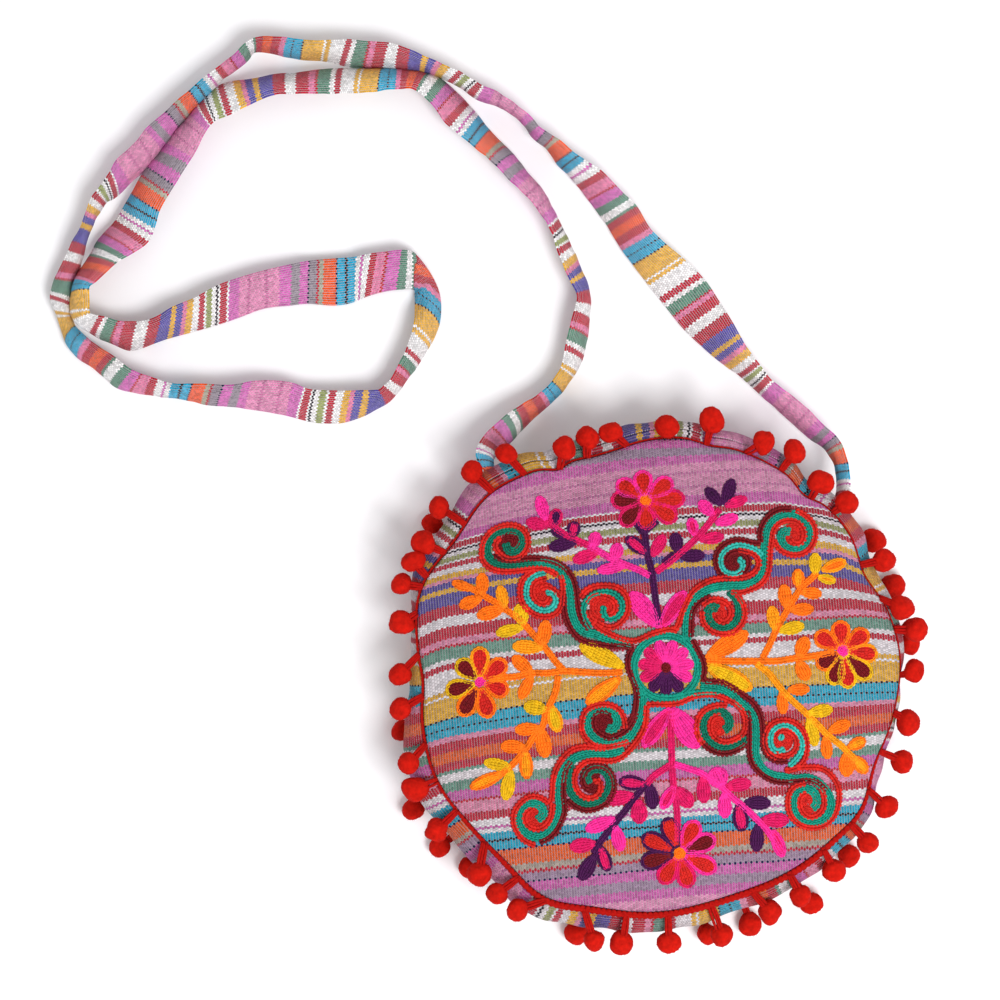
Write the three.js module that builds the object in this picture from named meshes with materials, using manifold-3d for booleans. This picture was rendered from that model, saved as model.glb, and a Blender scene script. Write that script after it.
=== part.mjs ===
// Round striped shoulder bag lying on its back, with pompom trim and a loose cloth strap.
// Millimetres, +Z up. The origin is the centre of the back panel, on the surface that it lies on.
import * as THREE from 'three';
import { mergeVertices } from 'three/addons/utils/BufferGeometryUtils.js';
import Module from 'manifold-3d';

// Driving dimensions
const SEAM_RADIUS = 104.5;
const FRONT_SEAM_HEIGHT = 38;
const BACK_SEAM_HEIGHT = 6;
const CLOTH = 1.6;
const GAP = 0.3;

// Front panel
const CROWN = 12;
const CROWN_POWER = 3;
const PANEL_RINGS = [0.12, 0.4, 0.62, 0.8, 0.92, 1];
const PANEL_SIDES = 44;
const SEAM_GRIP = 12;

// Back panel: flat inside FLAT_SHARE of its radius, then rising to its seam
const FLAT_SHARE = 0.84;
const BACK_RINGS = [0.12, FLAT_SHARE, 0.94, 1];
const BACK_INSET = 1;

// Gusset: how far it stands out past the seams, and where it is sewn to the strap
const BULGE = 10;
const BULGE_TO_RIGHT = -2.2;
const BULGE_TO_TOP = -0.9;
const BULGE_LIFT = 0.22;
const STRAP_SEAM_RIGHT = 43.5;
const STRAP_SEAM_LEFT = 126.5;
const LOWER_SPANS = 34;
const TOP_SPANS = 10;
const BAND_STEPS = 7;
const STRIP_STEPS = 2;
const PROFILE_SAMPLES = 40;
const PROFILE_STEP = 0.01;

// Mouth: places round the gusset's profile, from 0 at the front seam to PI at the back seam
const MOUTH_FRONT_LIP = 0.72;
const MOUTH_BACK_LIP = 0.8;
const ZIP_FRONT_EDGE = 0.52;
const ZIP_BACK_EDGE = 1;
const ZIP_THICKNESS = 1.2;

// Pompom trim
const BRAID_RADIUS = 1.6;
const BRAID_SIDES = 5;
const STEM_RADIUS = 1.6;
const STEM_SIDES = 3;
const STEM_SPANS = 2;
const STEM_ARCH = 3.5;
const POMPOM_RADIUS = 5.6;
const POMPOM_DETAIL = 1;
const POMPOM_SPACING = 10;
const HANG_DROP = 3;
const HANG_SLOPE = 0.35;
const FLOOR_CLEARANCE = 0.2;

// Strap
const STRAP_WIDTH = 22;
const STRAP_THICKNESS = 2.2;
const STRAP_EDGE = 1.5;
const STRAP_STEPS = 84;

// Lobes and hollows of the seam outline, seen from above
// angle (deg), out (mm), spread (deg)
const RIM_LOBES = [
  [4, 1.8, 9],
  [26, -4, 7],
  [51, -3, 4],
  [77, -1.5, 4],
  [105, -4.8, 12],
  [116, -2.6, 3],
  [134, 3.6, 10],
  [160, 5.5, 11],
  [205, 2.2, 10],
  [243, 4.4, 9],
  [288, -3, 16],
  [326, 2, 7],
];

// Dents pressed into the front panel, fading out at its seam
// angle (deg), share of the radius, depth (mm), spread (mm)
const PANEL_DENTS = [
  [113, 0.92, 5, 10],
  [77, 0.9, 3, 9],
  [50, 0.9, 2.5, 10],
  [28, 0.9, 2.5, 10],
];

// Front pompoms, anticlockwise from the right
// angle of the ball (deg), reach from the centre (mm), angle of its stem's foot (deg), lift (mm)
const FRONT_POMPOMS = [
  [1, 112.5, 0, 0],
  [10, 114.5, 11, 0],
  [15.5, 111, 19.5, 0],
  [27, 112, 28.5, 0],
  [42.5, 112, 43, 0],
  [50, 111, 49, 0],
  [58.5, 115, 59, 0],
  [65.5, 112.5, 68.5, 0],
  [78, 114.5, 78, 0],
  [88, 109.5, 87, 0],
  [101, 109, 97.5, 0],
  [106.5, 109, 108, 2],
  [112.5, 108, 115.5, 0],
  [124.5, 118, 123.5, 5],
  [132.5, 121, 132, 0],
  [142.5, 121, 142, 0],
  [150.5, 118, 150, 4],
  [155, 118.5, 157, 0],
  [160.5, 119.5, 159.5, 3],
  [168.5, 115, 165.5, 0],
  [180, 113.5, 175, 0],
  [187.5, 114, 185, 0],
  [199.5, 116, 196.5, 0],
  [205, 118, 205.5, 3],
  [215, 118.5, 214, 0],
  [228, 117.5, 224, 0],
  [233.5, 119.5, 235.5, 3],
  [239, 119.5, 243.5, 0],
  [256.5, 120, 252.5, 0],
  [262.5, 119, 262.5, 2],
  [272.5, 118.5, 272.5, 0],
  [284, 119, 283, 0],
  [295.5, 115.5, 293.5, 0],
  [303, 115.5, 303.5, 0],
  [312, 116, 313.5, 0],
  [321.5, 118.5, 322.5, 0],
  [330, 117, 331.5, 0],
  [340.5, 115, 341, 0],
  [349.5, 112.5, 351, 0],
];

// Back pompoms that lie in set places: angle (deg), reach (mm), with TUCKED for one pushed in
// under the gusset. Tucked ones fill the rest of the seam.
const TUCKED = 0;
const BACK_POMPOMS = [
  [6, 116.5],
  [19.5, 114],
  [30.5, 115.5],
  [38, TUCKED],
  [49.5, TUCKED],
  [121, TUCKED],
  [132, TUCKED],
  [146.5, 120],
  [193.5, 117],
  [210, 125.5],
  [219.5, 125],
  [227, 122],
  [253.5, 123.5],
  [281.5, 121],
  [291, 122.5],
  [304, 127],
  [316.5, 121.5],
];

// Strap route from its left end to its right end
// x, y (mm), lean (deg, left edge up when positive), rise of the low edge off the surface (mm)
const STRAP_ROUTE = [
  [-69.6, 94.2, 84, 5],
  [-67, 106, 68, 1],
  [-38, 133, 65, 0],
  [-33.5, 168, 67, 0],
  [-48, 208, 73, 0],
  [-71, 236, 53, 0],
  [-98, 261, 55, 0],
  [-117, 266, 66, 0],
  [-158, 265, 62, 0],
  [-192, 258, 54, 0],
  [-206, 241, 52, 0],
  [-225, 209, 34, 0],
  [-246, 187, 33, 0],
  [-257.5, 171, 66, 0],
  [-254, 158, 64, 0],
  [-240, 151.5, 50, 0],
  [-212, 158, 46, 0],
  [-188, 168.5, 24, 0],
  [-119, 181, 0, 0],
  [-103, 174.5, -50, 0],
  [-102, 158, -58, 0],
  [-111, 138, -70, 0],
  [-123, 123.5, -58, 0],
  [-148, 120, -44, 0],
  [-215, 127.5, -68, 0],
  [-244, 135.5, -56, 0],
  [-262, 150.5, -58, 0],
  [-268, 168, -66, 0],
  [-258, 197.5, -72, 0],
  [-230, 235.5, -54, 0],
  [-184, 279.5, -70, 0],
  [-160, 280, -65, 0],
  [-118, 276.5, -57, 0],
  [-82, 263.5, -69, 0],
  [-54, 245.5, -66, 0],
  [-14, 206, -38, 0],
  [20, 162.5, 0, 0],
  [48.5, 129, 60, 0],
  [82, 97.5, 66, 1],
  [82.6, 78.6, 82, 5],
];

const wasm = await Module();
wasm.setup();

const radians = THREE.MathUtils.degToRad;

function polar(angle, radius, height) {
  return new THREE.Vector3(radius * Math.cos(angle), radius * Math.sin(angle), height);
}

function bell(distance, spread) {
  return Math.exp(-((distance / spread) ** 2));
}

// Radius of the front seam at an angle in radians
function rimRadius(angle) {
  const degrees = THREE.MathUtils.radToDeg(angle);
  let radius = SEAM_RADIUS;
  for (const [at, out, spread] of RIM_LOBES) {
    const turn = THREE.MathUtils.euclideanModulo(degrees - at + 180, 360) - 180;
    radius += out * bell(turn, spread);
  }
  return radius;
}

function frontHeight(angle, share) {
  const place = polar(angle, share * rimRadius(angle), 0);
  const slack = 1 - share ** SEAM_GRIP;
  let height = FRONT_SEAM_HEIGHT + CROWN * (1 - share ** CROWN_POWER);
  for (const [at, dentShare, depth, spread] of PANEL_DENTS) {
    const centre = polar(radians(at), dentShare * rimRadius(radians(at)), 0);
    height -= slack * depth * bell(place.distanceTo(centre), spread);
  }
  return height;
}

function backHeight(share) {
  return BACK_SEAM_HEIGHT * (Math.max(0, share - FLAT_SHARE) / (1 - FLAT_SHARE)) ** 2;
}

// Gusset's outer face: turn runs from 0 at the front seam to PI at the back seam
const BAND_TOP = FRONT_SEAM_HEIGHT - CLOTH - GAP;
const BAND_BOTTOM = BACK_SEAM_HEIGHT + CLOTH + GAP;

function bandPoint(angle, turn) {
  const bulge = BULGE + BULGE_TO_RIGHT * Math.cos(angle) + BULGE_TO_TOP * Math.sin(angle);
  const fall = (1 - Math.cos(turn)) / 2;
  const out = bulge * Math.sin(turn) * (1 + BULGE_LIFT * Math.cos(turn));
  return new THREE.Vector2(
    rimRadius(angle) - BACK_INSET * fall + out,
    THREE.MathUtils.lerp(BAND_TOP, BAND_BOTTOM, fall),
  );
}

// The same point moved in through the wall by a depth
function bandInside(angle, turn, depth) {
  const before = bandPoint(angle, turn - PROFILE_STEP);
  const along = bandPoint(angle, turn + PROFILE_STEP).sub(before).normalize();
  return bandPoint(angle, turn).add(new THREE.Vector2(along.y, -along.x).multiplyScalar(depth));
}

// Closed body through sections of equal length. Its ends are capped unless it closes on itself.
// A section's first half runs along one side and its second half back along the other.
function loft(sections, isRing = false) {
  const sides = sections[0].length;
  const faces = [];
  const spans = isRing ? sections.length : sections.length - 1;
  for (let span = 0; span < spans; span += 1) {
    const here = span * sides;
    const next = ((span + 1) % sections.length) * sides;
    for (let i = 0; i < sides; i += 1) {
      const j = (i + 1) % sides;
      faces.push([here + i, next + i, next + j], [here + i, next + j, here + j]);
    }
  }
  if (!isRing) {
    const last = (sections.length - 1) * sides;
    for (let i = 0, j = sides - 1; i + 1 < j; i += 1, j -= 1) {
      faces.push([i, i + 1, j], [last + i, last + j, last + i + 1]);
      if (i + 1 < j - 1) {
        faces.push([i + 1, j - 1, j], [last + i + 1, last + j, last + j - 1]);
      }
    }
  }
  const points = sections.flat();
  const volume = faces.reduce((sum, [a, b, c]) => {
    const across = new THREE.Vector3().crossVectors(points[b], points[c]);
    return sum + points[a].dot(across);
  }, 0);
  const outward = volume < 0 ? faces.map(([a, b, c]) => [a, c, b]) : faces;
  const geometry = new THREE.BufferGeometry().setFromPoints(points);
  geometry.setIndex(outward.flat());
  return geometry;
}

function angles(from, to, spans) {
  return Array.from({ length: spans + 1 }, (_, i) => from + ((to - from) * i) / spans);
}

function fullTurn(spans) {
  return angles(0, 2 * Math.PI, spans).slice(0, spans);
}

// Round cloth panel: rings out over its upper face, then back in under its lower face
function panel(shares, radiusAt, upperHeight) {
  const ring = (share, drop) => fullTurn(PANEL_SIDES).map((angle) => {
    return polar(angle, share * radiusAt(angle), upperHeight(angle, share) - drop);
  });
  const upper = shares.map((share) => ring(share, 0));
  const lower = shares.map((share) => ring(share, CLOTH)).reverse();
  return loft([...upper, ...lower]);
}

// Arc of a band that follows the gusset's profile between two turns and two depths
function bandArc({ from, to, spans, fromTurn, toTurn, steps, outer, inner }) {
  const turns = angles(fromTurn, toTurn, steps);
  return loft(angles(from, to, spans).map((angle) => {
    const outside = turns.map((turn) => bandInside(angle, turn, outer));
    const inside = turns.map((turn) => bandInside(angle, turn, inner)).reverse();
    return [...outside, ...inside].map((point) => polar(angle, point.x, point.y));
  }));
}

function toSolid(geometry) {
  const bare = geometry.clone();
  bare.deleteAttribute('normal');
  bare.deleteAttribute('uv');
  const merged = mergeVertices(bare);
  return new wasm.Manifold(new wasm.Mesh({
    numProp: 3,
    vertProperties: merged.attributes.position.array,
    triVerts: new Uint32Array(merged.index.array),
  }));
}

function toGeometry(solid) {
  const mesh = solid.getMesh();
  const geometry = new THREE.BufferGeometry();
  geometry.setAttribute('position', new THREE.BufferAttribute(mesh.vertProperties, 3));
  geometry.setIndex(new THREE.BufferAttribute(mesh.triVerts, 1));
  return geometry;
}

function circleSection(centre, acrossAxis, upAxis, radius, sides) {
  return fullTurn(sides).map((turn) => centre.clone()
    .addScaledVector(acrossAxis, radius * Math.cos(turn))
    .addScaledVector(upAxis, radius * Math.sin(turn)));
}

const UP = new THREE.Vector3(0, 0, 1);

// Tube along a curve that is never vertical
function tube(curve, spans, radius, sides) {
  return loft(angles(0, 1, spans).map((at) => {
    const tangent = curve.getTangent(at);
    const across = new THREE.Vector3().crossVectors(UP, tangent).normalize();
    const over = new THREE.Vector3().crossVectors(tangent, across);
    return circleSection(curve.getPoint(at), across, over, radius, sides);
  }));
}

function clearOfBand(angle, radius, height) {
  const ball = new THREE.Vector2(radius, height);
  return angles(0, Math.PI, PROFILE_SAMPLES).every((turn) => {
    return bandPoint(angle, turn).distanceTo(ball) > POMPOM_RADIUS + 2 * GAP;
  });
}

// A front pompom hangs from its seam, or rests on the shoulder of the gusset
function frontPompom([degrees, reach, footDegrees, lift]) {
  const angle = radians(degrees);
  const drop = HANG_DROP + HANG_SLOPE * (reach - rimRadius(angle));
  let height = FRONT_SEAM_HEIGHT - drop + lift;
  while (!clearOfBand(angle, reach, height)) {
    height += GAP;
  }
  return { foot: radians(footDegrees), centre: polar(angle, reach, height) };
}

// A back pompom lies on the surface, as far out as its stem reaches
function backPompom([degrees, reach]) {
  const angle = radians(degrees);
  const height = POMPOM_RADIUS + FLOOR_CLEARANCE;
  let radius = reach === TUCKED ? rimRadius(angle) : reach;
  while (!clearOfBand(angle, radius, height)) {
    radius += GAP;
  }
  return { foot: angle, centre: polar(angle, radius, height) };
}

// The set rows, with tucked pompoms evenly spaced between them
function filledBackRow() {
  return BACK_POMPOMS.flatMap((row, i) => {
    const next = BACK_POMPOMS[(i + 1) % BACK_POMPOMS.length];
    const gap = THREE.MathUtils.euclideanModulo(next[0] - row[0], 360);
    const spaces = Math.max(1, Math.round(gap / POMPOM_SPACING));
    const fill = angles(row[0], row[0] + gap, spaces).slice(1, -1);
    return [row, ...fill.map((angle) => [angle, TUCKED])];
  });
}

// Braid in a seam, with a stem and a ball for each pompom, joined into one body
function pompomTrim(pompoms, braidInset, braidHeight, arch) {
  const braidPoint = (angle) => {
    const radius = rimRadius(angle) - braidInset + GAP + BRAID_RADIUS;
    return polar(angle, radius, braidHeight);
  };
  const braid = loft(fullTurn(PANEL_SIDES).map((angle) => {
    return circleSection(braidPoint(angle), polar(angle, 1, 0), UP, BRAID_RADIUS, BRAID_SIDES);
  }), true);
  return toGeometry(pompoms.reduce((solid, { foot, centre }) => {
    const start = braidPoint(foot);
    const middle = start.clone().lerp(centre, 0.5).addScaledVector(UP, arch);
    const curve = new THREE.QuadraticBezierCurve3(start, middle, centre);
    const stem = tube(curve, STEM_SPANS, STEM_RADIUS, STEM_SIDES);
    const ball = new THREE.OctahedronGeometry(POMPOM_RADIUS, POMPOM_DETAIL);
    ball.translate(...centre.toArray());
    return solid.add(toSolid(stem)).add(toSolid(ball));
  }, toSolid(braid)));
}

// Flat strap swept along its route, leaning as it goes
function strap() {
  const half = STRAP_WIDTH / 2;
  const deep = STRAP_THICKNESS / 2;
  const outline = [
    [-half, 0],
    [STRAP_EDGE - half, deep],
    [half - STRAP_EDGE, deep],
    [half, 0],
    [half - STRAP_EDGE, -deep],
    [STRAP_EDGE - half, -deep],
  ];
  const plan = new THREE.CatmullRomCurve3(
    STRAP_ROUTE.map(([x, y]) => new THREE.Vector3(x, y, 0)),
    false,
    'centripetal',
  );
  const poise = new THREE.CatmullRomCurve3(
    STRAP_ROUTE.map(([, , lean, rise]) => new THREE.Vector3(lean, rise, 0)),
  );
  return loft(angles(0, 1, STRAP_STEPS).map((share) => {
    const at = plan.getUtoTmapping(share);
    const along = plan.getTangent(at);
    const left = new THREE.Vector3().crossVectors(UP, along);
    const lean = radians(poise.getPoint(at).x);
    const rise = Math.max(0, poise.getPoint(at).y);
    const across = left.clone().multiplyScalar(Math.cos(lean)).addScaledVector(UP, Math.sin(lean));
    const face = new THREE.Vector3().crossVectors(along, across);
    const centre = plan.getPoint(at);
    centre.z = GAP + rise + half * Math.abs(Math.sin(lean)) + deep * Math.cos(lean);
    return outline.map(([w, t]) => centre.clone()
      .addScaledVector(across, w)
      .addScaledVector(face, t));
  }));
}

const bag = new THREE.Group();

function addPiece(name, geometry, color, roughness) {
  const material = new THREE.MeshStandardMaterial({ color, roughness, metalness: 0 });
  const mesh = new THREE.Mesh(geometry, material);
  mesh.name = name;
  bag.add(mesh);
}

addPiece('front_panel', panel(PANEL_RINGS, rimRadius, frontHeight), 0xc86f96, 0.9);
addPiece('back_panel', panel(
  BACK_RINGS,
  (angle) => rimRadius(angle) - BACK_INSET,
  (angle, share) => backHeight(share) + CLOTH,
), 0xc98ab0, 0.9);

const seamGap = GAP / 2 / SEAM_RADIUS;
const rightSeam = radians(STRAP_SEAM_RIGHT);
const leftSeam = radians(STRAP_SEAM_LEFT);
const wall = { outer: 0, inner: CLOTH };
const topArc = { from: rightSeam + seamGap, to: leftSeam - seamGap, spans: TOP_SPANS };

addPiece('gusset_lower', bandArc({
  from: leftSeam + seamGap,
  to: rightSeam + 2 * Math.PI - seamGap,
  spans: LOWER_SPANS,
  fromTurn: 0,
  toTurn: Math.PI,
  steps: BAND_STEPS,
  ...wall,
}), 0xb8566f, 0.9);
addPiece('gusset_top_front', bandArc({
  ...topArc,
  fromTurn: 0,
  toTurn: MOUTH_FRONT_LIP,
  steps: STRIP_STEPS,
  ...wall,
}), 0xd8a04a, 0.9);
addPiece('gusset_top_back', bandArc({
  ...topArc,
  fromTurn: MOUTH_BACK_LIP,
  toTurn: Math.PI,
  steps: BAND_STEPS - STRIP_STEPS,
  ...wall,
}), 0x5f9c86, 0.9);
addPiece('mouth_zip', bandArc({
  ...topArc,
  fromTurn: ZIP_FRONT_EDGE,
  toTurn: ZIP_BACK_EDGE,
  steps: STRIP_STEPS,
  outer: CLOTH + 2 * GAP,
  inner: CLOTH + 2 * GAP + ZIP_THICKNESS,
}), 0x3a3238, 0.6);
addPiece('front_pompom_trim', pompomTrim(
  FRONT_POMPOMS.map(frontPompom),
  0,
  FRONT_SEAM_HEIGHT,
  STEM_ARCH,
), 0xd8271f, 0.95);
addPiece('back_pompom_trim', pompomTrim(
  filledBackRow().map(backPompom),
  BACK_INSET,
  BAND_BOTTOM - GAP - BRAID_RADIUS,
  0,
), 0xb81f1c, 0.95);
addPiece('strap', strap(), 0xb8709c, 0.9);

export default bag;
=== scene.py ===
"""Round striped shoulder bag lying on its back: cloth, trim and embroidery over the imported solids.

Shape tables are in millimetres and degrees, and meshes are built in metres.
"""
import math

import bmesh
import bpy
import numpy as np
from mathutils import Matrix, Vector


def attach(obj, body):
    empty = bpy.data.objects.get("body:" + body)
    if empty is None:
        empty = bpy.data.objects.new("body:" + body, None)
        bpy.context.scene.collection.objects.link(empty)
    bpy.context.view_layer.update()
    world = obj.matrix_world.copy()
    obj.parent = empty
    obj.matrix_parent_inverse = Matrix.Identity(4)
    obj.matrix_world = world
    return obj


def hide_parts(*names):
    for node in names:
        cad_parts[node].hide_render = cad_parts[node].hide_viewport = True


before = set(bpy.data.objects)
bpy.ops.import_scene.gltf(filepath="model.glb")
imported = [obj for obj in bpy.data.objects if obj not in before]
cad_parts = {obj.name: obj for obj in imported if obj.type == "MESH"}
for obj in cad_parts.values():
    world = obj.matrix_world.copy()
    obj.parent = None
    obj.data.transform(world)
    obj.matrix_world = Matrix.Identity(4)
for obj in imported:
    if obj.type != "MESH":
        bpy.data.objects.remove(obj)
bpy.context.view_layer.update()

MM = 0.001
ROOT = "root"
UP = np.array([0.0, 0.0, 1.0])

# Photograph: a camera straight above, and the size of a pixel on the surface that the bag lies on
CAMERA_X, CAMERA_Y, CAMERA_HEIGHT = -69.3, 77.0, 1200.0
PIXEL = 0.4536
PHOTO_SIDE = 1000
SENSOR = 36.0

# Bag, close to the solids
SEAM_RADIUS = 104.5
FRONT_SEAM_HEIGHT = 38.0
BACK_SEAM_HEIGHT = 6.0
CLOTH = 1.6
GAP = 0.3
CROWN, CROWN_POWER, SEAM_GRIP = 12.0, 3, 12
FLAT_SHARE, BACK_INSET = 0.84, 1.0
BULGE, BULGE_TO_RIGHT, BULGE_TO_TOP, BULGE_LIFT = 10.0, -2.2, -0.9, 0.22
STRAP_SEAM_RIGHT, STRAP_SEAM_LEFT = 43.5, 132.0
MOUTH_FRONT_LIP, MOUTH_BACK_LIP = 0.42, 0.48
ZIP_FRONT_EDGE, ZIP_BACK_EDGE, ZIP_THICKNESS = 0.22, 0.7, 1.2
BRAID_RADIUS = 1.6
POMPOM_RADIUS, POMPOM_SPACING = 5.6, 10
HANG_DROP, HANG_SLOPE, FLOOR_CLEARANCE = 3.0, 0.35, 0.2
STEM_ARCH = 3.5
STRAP_WIDTH, STRAP_THICKNESS = 22.0, 2.2

# Lobes of the seam outline: angle, out, spread in degrees
RIM_LOBES = [
    (4, 1.8, 9), (26, -4, 7), (51, -3, 4), (77, -1.5, 4), (105, -4.8, 12), (116, -2.6, 3),
    (134, 3.6, 10), (160, 5.5, 11), (182, -2.2, 6), (205, 2.2, 10), (243, 4.4, 9), (288, -3, 16),
    (326, 2, 7), (338, -2.2, 8),
]
# Where the gusset bulges less, under the front panel's edge: angle, less, spread in degrees
BULGE_DIPS = [(143, 2, 10), (168, 9, 11), (186, 3.5, 10), (335, 1.6, 10), (358, 4.8, 18)]
# Dents in the front panel: angle, share of the radius, depth, spread
PANEL_DENTS = [(113, 0.92, 5, 10), (77, 0.9, 3, 9), (50, 0.9, 2.5, 10), (28, 0.9, 2.5, 10)]
# Front pompoms: angle, reach from the centre, angle of the stem's foot, lift
FRONT_POMPOMS = [
    (1, 112.5, 0, 0), (10, 114.5, 11, 0), (15.5, 111, 19.5, 0), (27, 112, 28.5, 0),
    (42.5, 112, 43, 0), (50, 111, 49, 0), (58.5, 115, 59, 0), (65.5, 112.5, 68.5, 0),
    (78, 114.5, 78, 0), (88, 109.5, 87, 0), (101, 109, 97.5, 0), (106.5, 109, 108, 2),
    (112.5, 108, 115.5, 0), (124.5, 118, 123.5, 5), (132.5, 121, 132, 0), (142.5, 121, 142, 0),
    (150.5, 118, 150, 4), (155, 118.5, 157, 0), (160.5, 119.5, 159.5, 3), (168.5, 115, 165.5, 0),
    (180, 113.5, 175, 0), (187.5, 114, 185, 0), (199.5, 116, 196.5, 0), (205, 118, 205.5, 3),
    (215, 118.5, 214, 0), (228, 117.5, 224, 0), (233.5, 119.5, 235.5, 3), (239, 119.5, 243.5, 0),
    (256.5, 120, 252.5, 0), (262.5, 119, 262.5, 2), (272.5, 118.5, 272.5, 0), (284, 119, 283, 0),
    (295.5, 115.5, 293.5, 0), (303, 115.5, 303.5, 0), (312, 116, 313.5, 0), (321.5, 118.5, 322.5, 0),
    (330, 117, 331.5, 0), (340.5, 115, 341, 0), (349.5, 112.5, 351, 0),
]
# Back pompoms in set places: angle, reach. TUCKED ones lie against the gusset.
TUCKED = 0
BACK_POMPOMS = [
    (6, 116.5), (19.5, 114), (30.5, 115.5), (38, TUCKED), (49.5, TUCKED), (121, TUCKED),
    (132, TUCKED), (146.5, 120), (193.5, 117), (210, 125.5), (219.5, 125), (227, 122),
    (253.5, 123.5), (281.5, 121), (291, 122.5), (304, 127), (316.5, 121.5),
]
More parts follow.
